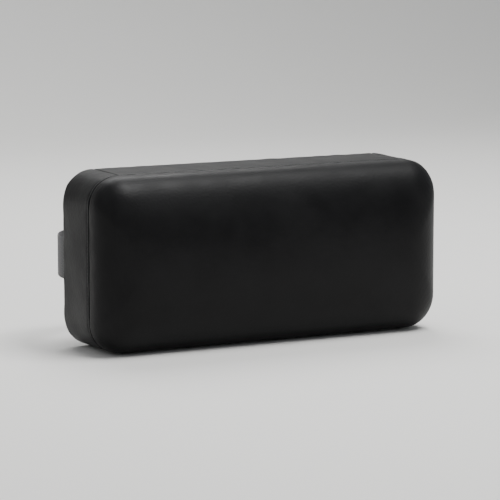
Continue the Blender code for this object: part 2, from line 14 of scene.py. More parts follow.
import bpy
import numpy as np
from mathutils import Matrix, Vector

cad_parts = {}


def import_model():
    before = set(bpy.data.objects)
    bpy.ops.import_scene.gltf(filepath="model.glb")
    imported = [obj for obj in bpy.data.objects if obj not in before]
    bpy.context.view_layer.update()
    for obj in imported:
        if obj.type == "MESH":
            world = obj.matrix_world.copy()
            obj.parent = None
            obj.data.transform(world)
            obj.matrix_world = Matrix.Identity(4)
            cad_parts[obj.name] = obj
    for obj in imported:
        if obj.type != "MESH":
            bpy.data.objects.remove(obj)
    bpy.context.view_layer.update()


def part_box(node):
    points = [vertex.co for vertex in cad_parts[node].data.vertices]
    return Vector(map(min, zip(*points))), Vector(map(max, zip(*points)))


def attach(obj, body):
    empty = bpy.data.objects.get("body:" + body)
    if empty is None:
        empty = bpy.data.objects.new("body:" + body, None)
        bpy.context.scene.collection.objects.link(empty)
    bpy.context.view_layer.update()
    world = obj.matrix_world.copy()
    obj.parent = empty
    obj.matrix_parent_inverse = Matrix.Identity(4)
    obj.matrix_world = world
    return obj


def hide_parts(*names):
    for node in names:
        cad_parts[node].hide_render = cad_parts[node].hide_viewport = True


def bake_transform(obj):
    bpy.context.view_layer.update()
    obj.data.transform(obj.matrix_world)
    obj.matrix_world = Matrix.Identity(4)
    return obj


LOG = logging.getLogger("lumbar_cushion")
MM = 0.001
SHARP_ANGLE = math.radians(50)
X_AXIS = (1.0, 0.0, 0.0)
Y_AXIS = (0.0, 1.0, 0.0)
Z_AXIS = (0.0, 0.0, 1.0)
Faces = list[list[int]]


# --- Colour and nodes -----------------------------------------------------------------


def linear(hex_colour: str) -> tuple[float, float, float, float]:
    """Turns an sRGB hex colour into linear light.

    Args:
        hex_colour: A colour such as "#1a1b1c".

    Returns:
        Red, green, blue and an alpha of 1, for a colour socket.
    """
    channels = [int(hex_colour[start : start + 2], 16) / 255 for start in (1, 3, 5)]
    light = [c / 12.92 if c <= 0.04045 else ((c + 0.055) / 1.055) ** 2.4 for c in channels]
    return (*light, 1.0)


def add_node(
    tree: bpy.types.NodeTree,
    kind: str,
    inputs: dict | None = None,
    into: bpy.types.NodeSocket | None = None,
    **settings: object,
) -> bpy.types.Node:
    """Adds a node with its settings, its socket values and its links.

    Args:
        tree: The node tree to add it to.
        kind: Blender's name for the node.
        inputs: Socket name or number to a value, or to the output socket that feeds it.
        into: The socket that its first output feeds, if any.
        **settings: Properties of the node.

    Returns:
        The new node.
    """
    node = tree.nodes.new(kind)
    for name, value in settings.items():
        setattr(node, name, value)
    for socket, value in (inputs or {}).items():
        if isinstance(value, bpy.types.NodeSocket):
            tree.links.new(value, node.inputs[socket])
        else:
            node.inputs[socket].default_value = value
    if into is not None:
        tree.links.new(node.outputs[0], into)
    return node


# --- Finishes -------------------------------------------------------------------------


@dataclass(frozen=True)
class Finish:
    """What every finish has: a name, a slot in the record, a colour and a shine."""

    name: str
    slot: str
    colour: str
    roughness: float
    ior: float = 1.5
    shine: float = 0.5

    def build(self) -> bpy.types.Material:
        """Makes the material.

        Returns:
            The material, with its pattern's nodes linked to its shader.
        """
        material = bpy.data.materials.new(self.name)
        material.use_nodes = True
        tree = material.node_tree
        shader = tree.nodes["Principled BSDF"]
        shader.inputs["Base Color"].default_value = linear(self.colour)
        shader.inputs["Roughness"].default_value = self.roughness
        shader.inputs["IOR"].default_value = self.ior
        shader.inputs["Specular IOR Level"].default_value = self.shine
        self.dress(tree, shader)
        return material

    def dress(self, tree: bpy.types.NodeTree, shader: bpy.types.Node) -> None:
        """Adds the finish's pattern. A plain finish has none."""

    def vary(
        self,
        tree: bpy.types.NodeTree,
        shader: bpy.types.Node,
        mask: bpy.types.NodeSocket,
        other: str,
        spread: float,
    ) -> None:
        """Mixes the base colour to another one and the roughness over a spread, by a mask.

        Args:
            tree: The material's node tree.
            shader: Its Principled shader.
            mask: A value from 0 to 1 over the surface.
            other: The sRGB hex colour where the mask is 1.
            spread: How far the roughness moves, from half below to half above its own value.
        """
        mix = add_node(
            tree,
            "ShaderNodeMix",
            {0: mask, 6: linear(self.colour), 7: linear(other)},
            data_type="RGBA",
        )
        tree.links.new(mix.outputs[2], shader.inputs["Base Color"])
        low, high = self.roughness - spread / 2, self.roughness + spread / 2
        span = {0: mask, 3: low, 4: high}
        add_node(tree, "ShaderNodeMapRange", span, into=shader.inputs["Roughness"])


@dataclass(frozen=True)
class Leatherette(Finish):
    """PU film on a knitted backing, embossed by a roller with a pebbled leather grain.

    The film gives a soft, even sheen. The grain breaks the highlight into small pebbles,
    and handling polishes it in wide, faint patches. The pebbles are drawn at about 2 mm,
    roughly twice the real pitch, so that they show.
    """

    pebble: float = 2.4 * MM
    pore: float = 0.8 * MM
    relief: float = 0.16 * MM
    patch: float = 38 * MM
    worn: str = "#0e0e0f"
    spread: float = 0.10

    def dress(self, tree: bpy.types.NodeTree, shader: bpy.types.Node) -> None:
        """Adds pebbles with creases between them, pores, and polished patches."""
        place = add_node(tree, "ShaderNodeTexCoord").outputs["Object"]
        drift = add_node(
            tree, "ShaderNodeTexNoise", {"Vector": place, "Scale": 1 / (6 * self.pebble), "Detail": 2.0}
        )
        bent = add_node(
            tree,
            "ShaderNodeVectorMath",
            {0: drift.outputs["Color"], 1: (2.4 * self.pebble,) * 3, 2: place},
            operation="MULTIPLY_ADD",
        ).outputs[0]
        pebbles = add_node(
            tree,
            "ShaderNodeTexVoronoi",
            {"Vector": bent, "Scale": 1 / self.pebble, "Randomness": 0.9},
            feature="SMOOTH_F1",
        )
        pores = add_node(
            tree, "ShaderNodeTexNoise", {"Vector": place, "Scale": 1 / self.pore, "Detail": 3.0}
        )
        dents = {"Height": pebbles.outputs["Distance"], "Distance": self.relief, "Strength": 0.55}
        sunk = add_node(tree, "ShaderNodeBump", dents, invert=True).outputs["Normal"]
        fine = {"Height": pores.outputs["Fac"], "Distance": self.relief / 4, "Strength": 0.5}
        fine["Normal"] = sunk
        add_node(tree, "ShaderNodeBump", fine, into=shader.inputs["Normal"])
        patches = add_node(
            tree, "ShaderNodeTexNoise", {"Vector": place, "Scale": 1 / self.patch, "Detail": 3.0}
        )
        mask = add_node(tree, "ShaderNodeMapRange", {0: patches.outputs["Fac"], 1: 0.36, 2: 0.68})
        self.vary(tree, shader, mask.outputs[0], self.worn, self.spread)
        shader.inputs["Sheen Weight"].default_value = 0.02
        shader.inputs["Sheen Roughness"].default_value = 0.45


@dataclass(frozen=True)
class Weave(Finish):
    """Polypropylene or polyester yarn woven in a herringbone.

    The yarn is dull. Where the floats stand highest its colour is painted lighter, a painted highlight
    for the dry sheen along them. Ribs and floats follow the piece's own UV map, which is in
    metres: U along the strap and V across it. The floats are drawn at 2 mm, about twice the
    real pitch, so that they show.
    """

    rib: float = 1.9 * MM
    float_pitch: float = 2.0 * MM
    fibres_per_metre: float = 2600.0
    relief: float = 0.16 * MM
    # Colour of the painted highlight on the floats where they stand highest.
    painted_float_highlight: str = "#2b2b2e"

    def dress(self, tree: bpy.types.NodeTree, shader: bpy.types.Node) -> None:
        """Adds slanted floats that change direction from rib to rib, stray fibres, and a painted
        highlight on the floats' crests.
        """
        uv = add_node(tree, "ShaderNodeUVMap", uv_map="UVMap").outputs[0]
        parts = add_node(tree, "ShaderNodeSeparateXYZ", {0: uv})
        across = {0: parts.outputs["Y"], 1: self.rib}
        zigzag = add_node(tree, "ShaderNodeMath", across, operation="PINGPONG")
        slanted = add_node(tree, "ShaderNodeMath", {0: parts.outputs["X"], 1: zigzag.outputs[0]})
        per_metre = {0: slanted.outputs[0], 1: math.tau / self.float_pitch}
        turns = add_node(tree, "ShaderNodeMath", per_metre, operation="MULTIPLY")
        wave = add_node(tree, "ShaderNodeMath", {0: turns.outputs[0]}, operation="SINE")
        height = add_node(tree, "ShaderNodeMapRange", {0: wave.outputs[0], 1: -1.0, 2: 1.0})
        hairs = {"Vector": uv, "Scale": self.fibres_per_metre, "Detail": 3.0}
        fibres = add_node(tree, "ShaderNodeTexNoise", hairs)
        floats = {"Height": height.outputs[0], "Distance": self.relief, "Strength": 0.8}
        woven = add_node(tree, "ShaderNodeBump", floats).outputs["Normal"]
        stray = {"Height": fibres.outputs["Fac"], "Distance": self.relief / 3, "Strength": 0.6}
        stray["Normal"] = woven
        add_node(tree, "ShaderNodeBump", stray, into=shader.inputs["Normal"])
        # Painted highlight: the colour turns lighter towards each float's crest, following its height.
        self.vary(tree, shader, height.outputs[0], self.painted_float_highlight, 0.12)
        shader.inputs["Sheen Weight"].default_value = 0.25
        shader.inputs["Sheen Roughness"].default_value = 0.5


@dataclass(frozen=True)
class Moulded(Finish):
    """Acetal or nylon moulded in a spark-eroded tool.

    The tool leaves a very fine satin texture, and the melt's flow leaves the shine a
    little uneven.
    """

    spark: float = 0.45 * MM
    relief: float = 0.02 * MM
    flow: float = 9 * MM
    scuffed: str = "#29292b"

    def dress(self, tree: bpy.types.NodeTree, shader: bpy.types.Node) -> None:
        """Adds the tool's texture and the uneven shine."""
        place = add_node(tree, "ShaderNodeTexCoord").outputs["Object"]
        grain = add_node(
            tree, "ShaderNodeTexNoise", {"Vector": place, "Scale": 1 / self.spark, "Detail": 4.0}
        )
        satin = {"Height": grain.outputs["Fac"], "Distance": self.relief, "Strength": 0.7}
        add_node(tree, "ShaderNodeBump", satin, into=shader.inputs["Normal"])
        flow = add_node(
            tree, "ShaderNodeTexNoise", {"Vector": place, "Scale": 1 / self.flow, "Detail": 4.0}
        )
        mask = add_node(tree, "ShaderNodeMapRange", {0: flow.outputs["Fac"], 1: 0.4, 2: 0.7})
        self.vary(tree, shader, mask.outputs[0], self.scuffed, 0.12)


@dataclass(frozen=True)
class Lacquered(Finish):
    """Die-cast zinc under baked black lacquer.

    The lacquer is a smooth, clear-topped coat. Fine orange peel ripples its highlight, and
    small rubbed spots show greyer.
    """

    peel: float = 0.8 * MM
    relief: float = 0.02 * MM
    spots_per_metre: float = 420.0
    rubbed: str = "#4a4a4d"

    def dress(self, tree: bpy.types.NodeTree, shader: bpy.types.Node) -> None:
        """Adds the clear coat, its ripple and the rubbed spots."""
        place = add_node(tree, "ShaderNodeTexCoord").outputs["Object"]
        ripple = add_node(tree, "ShaderNodeTexNoise", {"Vector": place, "Scale": 1 / self.peel})
        orange = {"Height": ripple.outputs["Fac"], "Distance": self.relief, "Strength": 0.5}
        add_node(tree, "ShaderNodeBump", orange, into=shader.inputs["Normal"])
        spots = {"Vector": place, "Scale": self.spots_per_metre, "Detail": 5.0}
        rubs = add_node(tree, "ShaderNodeTexNoise", spots)
        mask = add_node(tree, "ShaderNodeMapRange", {0: rubs.outputs["Fac"], 1: 0.58, 2: 0.75})
        self.vary(tree, shader, mask.outputs[0], self.rubbed, 0.15)
        shader.inputs["Coat Weight"].default_value = 0.6
        shader.inputs["Coat Roughness"].default_value = 0.12


@dataclass(frozen=True)
class Foam(Finish):
    """Cold-cured polyurethane foam, moulded, with a skin of open cells.

    It scatters light inside, so it looks soft and chalky. Its small pores are painted darker, as painted
    shade in the pits.
    """

    cell: float = 1.4 * MM
    pit: float = 0.3 * MM
    # Colour of the painted shade at the bottom of each pore.
    pore: str = "#a89c7c"

    def dress(self, tree: bpy.types.NodeTree, shader: bpy.types.Node) -> None:
        """Adds the cells as dents, each darkened towards its bottom by painted shade."""
        place = add_node(tree, "ShaderNodeTexCoord").outputs["Object"]
        cells = add_node(tree, "ShaderNodeTexVoronoi", {"Vector": place, "Scale": 1 / self.cell})
        pits = {"Height": cells.outputs["Distance"], "Distance": self.pit, "Strength": 0.8}
        add_node(tree, "ShaderNodeBump", pits, into=shader.inputs["Normal"])
        # Painted shade: the colour darkens towards the bottom of each dent.
        mask = add_node(tree, "ShaderNodeMapRange", {0: cells.outputs["Distance"], 1: 0.3, 2: 0.0})
        self.vary(tree, shader, mask.outputs[0], self.pore, 0.04)
        shader.inputs["Subsurface Weight"].default_value = 0.1
        shader.inputs["Subsurface Radius"].default_value = (2 * MM, 1.6 * MM, 1.2 * MM)


class Material(Enum):
    """The finishes of this cushion, each with the record's slot that it stands for."""

    COVER = Leatherette("pu_leatherette", "leatherette", "#070708", 0.46, shine=0.15)
    BACK = Leatherette(
        "pu_leatherette_dull",
        "back_leatherette",
        "#0c0c0d",
        0.55,
        shine=0.3,
        pebble=1.8 * MM,
        worn="#131314",
    )
    FOAM = Foam("moulded_pu_foam", "foam", "#d8cdb0", 0.95, ior=1.35)
    ZIP_TAPE = Weave(
        "woven_polyester_tape", "zip_tape", "#1b1b1d", 0.82, rib=0.9 * MM, float_pitch=1.1 * MM
    )
    ZIP_COIL = Moulded("nylon_monofilament", "zip_coil", "#1f1f21", 0.36, ior=1.53)
    ZIP_METAL = Lacquered("lacquered_zinc", "zip_metal", "#1d1d20", 0.34)
    WEBBING = Weave("polypropylene_webbing", "webbing", "#19191b", 0.74, ior=1.49)
    BUCKLE = Moulded("moulded_acetal", "buckle_plastic", "#1c1c1e", 0.40, ior=1.48)
    THREAD = Moulded(
        "bonded_polyester_thread", "webbing", "#202023", 0.58, spark=0.3 * MM, relief=0.05 * MM
    )

    @property
    def slot(self) -> str:
        """The record's slot."""
        return self.value.slot

    @property
    def made(self) -> bpy.types.Material:
        """The Blender material, built the first time that it is asked for."""
        found = bpy.data.materials.get(self.value.name)
        return found or self.value.build()


# --- Meshes ---------------------------------------------------------------------------


def grid_faces(rows: int, columns: int, closed: bool = False, start: int = 0) -> Faces:
    """Quads between the neighbouring points of a grid stored row by row.

    Args:
        rows: How many rows the grid has.
        columns: How many points a row has.
        closed: Whether the last column joins the first.
        start: The number of the grid's first point.

    Returns:
        The faces, each as four point numbers.
    """
    row, column = np.meshgrid(
        np.arange(rows - 1), np.arange(columns - (0 if closed else 1)), indexing="ij"
    )
    following = (column + 1) % columns
    corners = [
        row * columns + column,
        row * columns + following,
        (row + 1) * columns + following,
        (row + 1) * columns + column,
    ]
    return (np.stack([corner.ravel() for corner in corners], axis=1) + start).tolist()


def shell_faces(rings: int, sides: int) -> Faces:
    """Faces of a closed section carried along an open path: its sides, and a cap at each end."""
    last = (rings - 1) * sides
    caps = [list(range(sides))[::-1], list(range(last, last + sides))]
    return grid_faces(rings, sides, closed=True) + caps


def flipped(faces: Faces) -> Faces:
    """The same faces, looking the other way."""
    return [face[::-1] for face in faces]


def unit(vectors: np.ndarray) -> np.ndarray:
    """The directions of vectors, along the last axis."""
    return vectors / np.maximum(np.linalg.norm(vectors, axis=-1, keepdims=True), 1e-12)


def walk(path: np.ndarray) -> np.ndarray:
    """How far each point of a path lies from its start, along it."""
    return np.concatenate([[0], np.cumsum(np.linalg.norm(np.diff(path, axis=0), axis=1))])


def combine(x: np.ndarray | float, y: np.ndarray | float, z: np.ndarray | float) -> np.ndarray:
    """Points from their X, Y and Z, each an array or one number for all."""
    return np.stack(np.broadcast_arrays(x, y, z), axis=-1)


def grid_normals(points: np.ndarray) -> np.ndarray:
    """Unit normals of a grid of points: its column direction cross its row direction.

    Args:
        points: Rows by columns by three.

    Returns:
        Normals in the same layout, on the side that the faces of grid_faces look to.
    """
    return unit(np.cross(np.gradient(points, axis=1), np.gradient(points, axis=0)))


def smooth_at(values: np.ndarray, places: np.ndarray, closed: bool = False) -> np.ndarray:
    """Reads a smooth curve through rows of values at fractional row numbers.

    It is the Catmull-Rom cubic: through every row, with each slope taken from the two
    neighbours. An open end continues in a straight line, and a closed one runs on.

    Args:
        values: The rows.
        places: Fractional row numbers.
        closed: Whether the last row is followed by the first.

    Returns:
        One row of values for each place.
    """
    count = len(values)
    base = np.floor(places).astype(int)
    if not closed:
        base = np.clip(base, 0, count - 2)
        values = np.concatenate(
            [[2 * values[0] - values[1]], values, [2 * values[-1] - values[-2]]]
        )
        p0, p1, p2, p3 = (values[base + step] for step in range(4))
    else:
        p0, p1, p2, p3 = (values[(base + step) % count] for step in (-1, 0, 1, 2))
    t = (places - base).reshape(-1, *([1] * (values.ndim - 1)))
    return 0.5 * (
        2 * p1
        + (p2 - p0) * t
        + (2 * p0 - 5 * p1 + 4 * p2 - p3) * t**2
        + (3 * p1 - p0 - 3 * p2 + p3) * t**3
    )


class Piece:
    """A mesh under construction: points, faces and, if it has a pattern, a UV map."""

    def __init__(self, name: str) -> None:
        """Starts an empty piece of that name."""
        self.name = name
        self.points: list[np.ndarray] = []
        self.faces: Faces = []
        self.uvs: list[np.ndarray] = []

    @property
    def count(self) -> int:
        """How many points it has so far."""
        return sum(len(block) for block in self.points)

    def add(self, points: np.ndarray, faces: Faces, uv: np.ndarray | None = None) -> None:
        """Adds points with the faces between them, which count from the first of them."""
        start = self.count
        flat = np.asarray(points, float).reshape(-1, 3)
        self.points.append(flat)
        self.faces += [[corner + start for corner in face] for face in faces]
        self.uvs.append(np.zeros((len(flat), 2)) if uv is None else np.reshape(uv, (-1, 2)))

    def finish(
        self, material: Material, body: str, stands_for: Sequence[str] = (), thickness: float = 0.0
    ) -> bpy.types.Object:
        """Makes the object, dresses it and hangs it on its body.

        Args:
            material: Its finish.
            body: The body that it rides on, or "" for one that bends between bodies.
            stands_for: The plain nodes that it replaces.
            thickness: If not 0, the surface is given this thickness, inwards.

        Returns:
            The object, with its place in its mesh.
        """
        mesh = bpy.data.meshes.new(self.name)
        mesh.from_pydata(np.concatenate(self.points).tolist(), [], self.faces)
        mesh.polygons.foreach_set("use_smooth", np.ones(len(self.faces), bool))
        corners = np.zeros(len(mesh.loops), int)
        mesh.loops.foreach_get("vertex_index", corners)
        uv_map = mesh.uv_layers.new(name="UVMap")
        uv_map.data.foreach_set("uv", np.concatenate(self.uvs)[corners].ravel())
        mesh.set_sharp_from_angle(angle=SHARP_ANGLE)
        mesh.materials.append(material.made)
        obj = bpy.data.objects.new(self.name, mesh)
        bpy.context.scene.collection.objects.link(obj)
        if thickness:
            wall = obj.modifiers.new("thickness", "SOLIDIFY")
            wall.thickness = thickness
            wall.offset = -1.0
        if stands_for:
            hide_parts(*stands_for)
        if body:
            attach(obj, body)
        material.slot
        LOG.info("%s: %d points, %s", self.name, len(mesh.vertices), material.name)
        return obj


def slab(
    piece: Piece,
    outline: np.ndarray,
    low: float,
    high: float,
    edge: float | tuple[float, float],
    steps: int = 3,
) -> None:
    """Adds a plate in the XZ plane, between two Y values, whose edges are rounded.

    The outline is carried through a quarter circle at each face: it moves inwards by
    edge * (1 - cos a) while it rises by edge * sin a. A narrow flat rim follows, and the
    rest of the face is one polygon. An outline's corners are wider than its edges' radius.

    Args:
        piece: The piece to add it to.
        outline: X and Z of each corner, in order, either way round.
        low: Y of its front face.
        high: Y of its rear face.
        edge: Radius of its rounded edges, or one for the front and one for the rear.
        steps: Rings in each rounded edge.
    """
    front, rear = edge if isinstance(edge, tuple) else (edge, edge)
    x, z = outline.T
    if np.sum(x * np.roll(z, -1) - z * np.roll(x, -1)) < 0:
        outline = outline[::-1]
    ahead = unit(np.roll(outline, -1, axis=0) - outline)
    mean = ahead + unit(outline - np.roll(outline, 1, axis=0))
    normal = np.stack([mean[:, 1], -mean[:, 0]], axis=1)
    normal /= np.maximum(np.sum(mean * ahead, axis=1, keepdims=True), 0.3)
    angles = np.linspace(0, math.pi / 2, steps + 1)
    inset = np.concatenate([front * (1 - np.sin(angles)), rear * (1 - np.cos(angles))])
    rise = np.concatenate([low + front * (1 - np.cos(angles)), high - rear * (1 - np.sin(angles))])
    flat_rim = 0.08 * MM
    inset = np.concatenate([[front + flat_rim], inset, [rear + flat_rim]])
    rise = np.concatenate([[low], rise, [high]])
    flat = outline[None] - normal[None] * inset[:, None, None]
    y = np.broadcast_to(rise[:, None, None], (*flat.shape[:2], 1))
    points = np.concatenate([flat[:, :, :1], y, flat[:, :, 1:]], axis=2)
    piece.add(points, flipped(shell_faces(*points.shape[:2])))


def rounded(low: tuple, high: tuple, radius: float, steps: int = 6) -> np.ndarray:
    """Outline of a rectangle with round corners: a quarter circle about each corner's centre.

    Args:
        low: Its lowest X and Z.
        high: Its highest X and Z.
        radius: Radius of its corners.
        steps: Points in each corner, less one.

    Returns:
        X and Z of each point, anticlockwise.
    """
    angle = np.linspace(0, math.pi / 2, steps + 1)
    corners = []
    for turn, (x, z) in enumerate(
        (
            (high[0] - radius, high[1] - radius),
            (low[0] + radius, high[1] - radius),
            (low[0] + radius, low[1] + radius),
            (high[0] - radius, low[1] + radius),
        )
    ):
        around = angle + turn * math.pi / 2
        corners.append(np.stack([x + radius * np.cos(around), z + radius * np.sin(around)], axis=1))
    return np.concatenate(corners)


def sweep(
    piece: Piece,
    path: np.ndarray,
    sideways: np.ndarray,
    upright: np.ndarray,
    section: np.ndarray,
) -> None:
    """Adds a closed section carried along a path, with a cap at each end.

    A point is the path's point, plus the section's first number along the sideways
    direction and its second along the upright one.

    Args:
        piece: The piece to add it to.
        path: Points by three.
        sideways: A direction for each point, or one for all.
        upright: The same, square to it. Path, sideways and upright are right-handed.
        section: The section's corners, anticlockwise, by two. It may have one per point.
    """
    count = len(path)
    sideways = np.broadcast_to(sideways, (count, 3))[:, None]
    upright = np.broadcast_to(upright, (count, 3))[:, None]
    section = np.broadcast_to(section, (count, *section.shape[-2:]))
    points = path[:, None] + sideways * section[:, :, :1] + upright * section[:, :, 1:]
    piece.add(points, shell_faces(*points.shape[:2]))


def soften(outline: np.ndarray, cut: float, steps: int = 5) -> np.ndarray:
    """Rounds every corner of an outline.

    Each corner becomes the quadratic curve from a cut before it to a cut after it, which
    pulls towards it. On a short edge the cut is 45 % of the edge.

    Args:
        outline: X and Z of each corner, in order.
        cut: How far from the corner the curve starts.
        steps: Pieces in each curve.

    Returns:
        The rounded outline, in the same order.
    """
    ends = []
    for step in (1, -1):
        edge = np.roll(outline, step, axis=0) - outline
        length = np.linalg.norm(edge, axis=1, keepdims=True)
        ends.append(outline + edge / length * np.minimum(cut, 0.45 * length))
    t = np.linspace(0, 1, steps + 1)[None, :, None]
    before, after = ends[0][:, None], ends[1][:, None]
    curve = (1 - t) ** 2 * before + 2 * t * (1 - t) * outline[:, None] + t**2 * after
    return curve.reshape(-1, 2)


def tube(
    piece: Piece, path: np.ndarray, radius: float | np.ndarray, sides: int, axis: Sequence[float]
) -> None:
    """Adds a round section carried along a path. Its sides lean on an axis off the path.

    Args:
        piece: The piece to add it to.
        path: Points by three.
        radius: Its radius, or one for each point.
        sides: Corners of the section.
        axis: A direction that the path is never parallel to.
    """
    heading = unit(np.gradient(path, axis=0))
    sideways = unit(np.cross(heading, axis))
    section = circle(1.0, sides)[None] * np.broadcast_to(radius, len(path))[:, None, None]
    sweep(piece, path, sideways, np.cross(heading, sideways), section)


def circle(radius: float, sides: int) -> np.ndarray:
    """Corners of a regular polygon, anticlockwise, as a round section."""
    angle = np.linspace(0, math.tau, sides, endpoint=False)
    return radius * np.stack([np.cos(angle), np.sin(angle)], axis=1)


@dataclass(frozen=True)
class Stitching:
    """A lockstitch seam: even stitches of one thread, each pulled into the cloth at its ends."""

    pitch: float = 3.6 * MM
    gap: float = 0.7 * MM
    thread: float = 0.55 * MM
    lift: float = 0.10 * MM
    rings: int = 6
    sides: int = 6

    def sew(self, piece: Piece, path: np.ndarray, normals: np.ndarray) -> None:
        """Adds one row along a path.

        A stitch is a thread between two points of the path. Its centre rises by a half
        sine above the surface and its radius falls away towards both ends.

        Args:
            piece: The piece that holds the seam's thread.
            path: Points on the cloth.
            normals: Directions out of the cloth at those points, or one for all.
        """
        normals = np.broadcast_to(normals, path.shape)
        walked = walk(path)
        count = max(int(walked[-1] / self.pitch), 1)
        pitch = walked[-1] / count
        t = np.linspace(0, 1, self.rings)
        at = np.arange(count)[:, None] * pitch + self.gap / 2 + t[None] * (pitch - self.gap)
        centre = np.stack([np.interp(at, walked, path[:, k]) for k in range(3)], axis=-1)
        up = np.stack([np.interp(at, walked, normals[:, k]) for k in range(3)], axis=-1)
        up = unit(up)
        rise = self.lift * np.sin(math.pi * t) - self.thread * 0.45 * np.abs(2 * t - 1) ** 3
        centre = centre + up * rise[None, :, None]
        side = unit(np.cross(np.gradient(centre, axis=1), up))
        radius = self.thread / 2 * (1 - 0.5 * np.abs(2 * t - 1) ** 4)
        section = circle(1.0, self.sides)
        around = side[:, :, None] * section[:, :1] + up[:, :, None] * section[:, 1:]
        points = centre[:, :, None] + around * radius[None, :, None, None]
        faces = flipped(shell_faces(self.rings, self.sides))
        for stitch in points:
            piece.add(stitch, faces)


# --- Cushion --------------------------------------------------------------------------


@dataclass
class CushionForm:
    """The padded body as a grid that closes in rings from its seam to the middle of its front.

    A ring is a rounded rectangle. Going inwards by an angle a from 0 to 90 degrees, its
    half height is half_z * cos(a)**power, its half length falls by end_rounding *
    (1 - cos(a)**power), and it moves forward by crown * sin(a)**power.
    """

    half_x: float
    half_z: float
    rear_y: float
    seam_y: float
    crown: float
    corner: float = 28 * MM
    end_rounding: float = 45 * MM
    lip: float = 3 * MM
    power: float = 0.87
    cells_x: int = 84
    cells_z: int = 32
    band_cells: int = 11

    @staticmethod
    def side(
        share: np.ndarray, half_along: np.ndarray, half_across: np.ndarray, radius: np.ndarray
    ) -> tuple[np.ndarray, np.ndarray]:
        """Walks one side of a rounded rectangle, from the middle of one corner to the next.

        The walk is straight up to the corner and then turns with the corner's radius.

        Args:
            share: -1 at one end of the walk, 1 at the other.
            half_along: Half the rectangle's length along this side.
            half_across: Half its width across it.
            radius: Radius of its corners.

        Returns:
            How far each point lies along the side from its middle, and out from the centre.
        """
        straight = half_along - radius
        distance = np.abs(share) * (straight + radius * math.pi / 4)
        angle = np.maximum(distance - straight, 0.0) / radius
        along = np.sign(share) * (np.minimum(distance, straight) + radius * np.sin(angle))
        return along, half_across - radius * (1 - np.cos(angle))

    def rings(
        self, half_x: np.ndarray, half_z: np.ndarray, radius: np.ndarray, depth: np.ndarray
    ) -> tuple[np.ndarray, np.ndarray]:
        """X and Z of the whole grid, from each point's ring.

        Args:
            half_x: Half length of the ring that each grid point is on.
            half_z: Half height of that ring.
            radius: Its corner radius.
            depth: Its number, counted from the seam.

        Returns:
            X and Z, each in the grid's layout.
        """
        i, j = np.meshgrid(np.arange(self.cells_x + 1), np.arange(self.cells_z + 1), indexing="ij")
        share_x = (2 * i - self.cells_x) / np.maximum(self.cells_x - 2 * depth, 1)
        share_z = (2 * j - self.cells_z) / np.maximum(self.cells_z - 2 * depth, 1)
        level_x, level_z = self.side(share_x, half_x, half_z, radius)
        upright_z, upright_x = self.side(share_z, half_z, half_x, radius)
        level = np.minimum(j, self.cells_z - j) == depth
        x = np.where(level, level_x, np.sign(share_x) * upright_x)
        z = np.where(level, np.sign(share_z) * level_z, upright_z)
        return x, z

    def depths(self) -> np.ndarray:
        """Ring number of each grid point, 0 at the seam."""
        i, j = np.meshgrid(np.arange(self.cells_x + 1), np.arange(self.cells_z + 1), indexing="ij")
        return np.minimum(np.minimum(i, self.cells_x - i), np.minimum(j, self.cells_z - j))

    def front(self) -> np.ndarray:
        """Points of the crowned front, cells_x + 1 by cells_z + 1 by three."""
        depth = self.depths()
        last = self.cells_z // 2
        angle = np.maximum(depth - 1, 0) / (last - 1) * math.pi / 2
        share = np.maximum(np.cos(angle), 0.0) ** self.power
        half_x = self.half_x - self.end_rounding * (1 - share)
        x, z = self.rings(half_x, self.half_z * share, np.maximum(self.corner * share, 1e-6), depth)
        rise = (self.crown - self.lip) * np.sin(angle) ** self.power
        y = self.seam_y - self.lip * np.minimum(depth, 1) - rise
        return combine(x, y, z)

    def rear(self) -> np.ndarray:
        """Points of the flat rear face, in the same layout: rings at an even inset."""
        depth = self.depths()
        share = 1 - depth / (self.cells_z // 2)
        half_x = self.half_x - self.half_z * (1 - share)
        x, z = self.rings(half_x, self.half_z * share, np.maximum(self.corner * share, 1e-6), depth)
        return combine(x, self.rear_y, z)

    def rim(self) -> np.ndarray:
        """Grid places (i, j) of the outermost ring, anticlockwise from the lower left corner."""
        a, b = self.cells_x, self.cells_z
        i = np.concatenate([np.arange(a), np.full(b, a), np.arange(a, 0, -1), np.zeros(b, int)])
        j = np.concatenate([np.zeros(a, int), np.arange(b), np.full(a, b), np.arange(b, 0, -1)])
        return np.stack([i, j], axis=1)

    def band(self) -> np.ndarray:
        """Points of the band, from the front seam to the rear: rows by places on the rim."""
        i, j = self.rim().T
        ring = self.front()[i, j]
        y = np.linspace(self.seam_y, self.rear_y, self.band_cells + 1)
        points = np.repeat(ring[None], len(y), axis=0)
        points[:, :, 1] = y[:, None]
        return points

    def front_of(self, points: np.ndarray) -> np.ndarray:
        """The front grid of points in the closed mesh's layout."""
        shape = (self.cells_x + 1, self.cells_z + 1, 3)
        return points[: shape[0] * shape[1]].reshape(shape)

    def band_of(self, points: np.ndarray) -> np.ndarray:
        """The band grid of points in the closed mesh's layout."""
        size = (self.cells_x + 1) * (self.cells_z + 1)
        i, j = self.rim().T
        edge = i * (self.cells_z + 1) + j
        inner = points[2 * size :].reshape(self.band_cells - 1, len(edge), 3)
        return np.concatenate([points[edge][None], inner, points[size + edge][None]])

    def closed(self) -> tuple[np.ndarray, Faces]:
        """The whole body as one closed mesh.

        Returns:
            Its points, which are the front grid, the rear grid and then the band's inner
            rows, and its faces, which point outwards.
        """
        front, rear, band = self.front(), self.rear(), self.band()
        size = front.shape[0] * front.shape[1]
        i, j = self.rim().T
        edge = i * front.shape[1] + j
        around = len(edge)
        inner = 2 * size + np.arange((self.band_cells - 1) * around).reshape(-1, around)
        rows = np.concatenate([edge[None], inner, edge[None] + size])
        faces = flipped(grid_faces(*front.shape[:2]))
        faces += grid_faces(*front.shape[:2], start=size)
        flat = rows.ravel()
        faces += [flat[face].tolist()[::-1] for face in grid_faces(*rows.shape, closed=True)]
        points = np.concatenate([front.reshape(-1, 3), rear.reshape(-1, 3), band[1:-1].reshape(-1, 3)])
        return points, faces


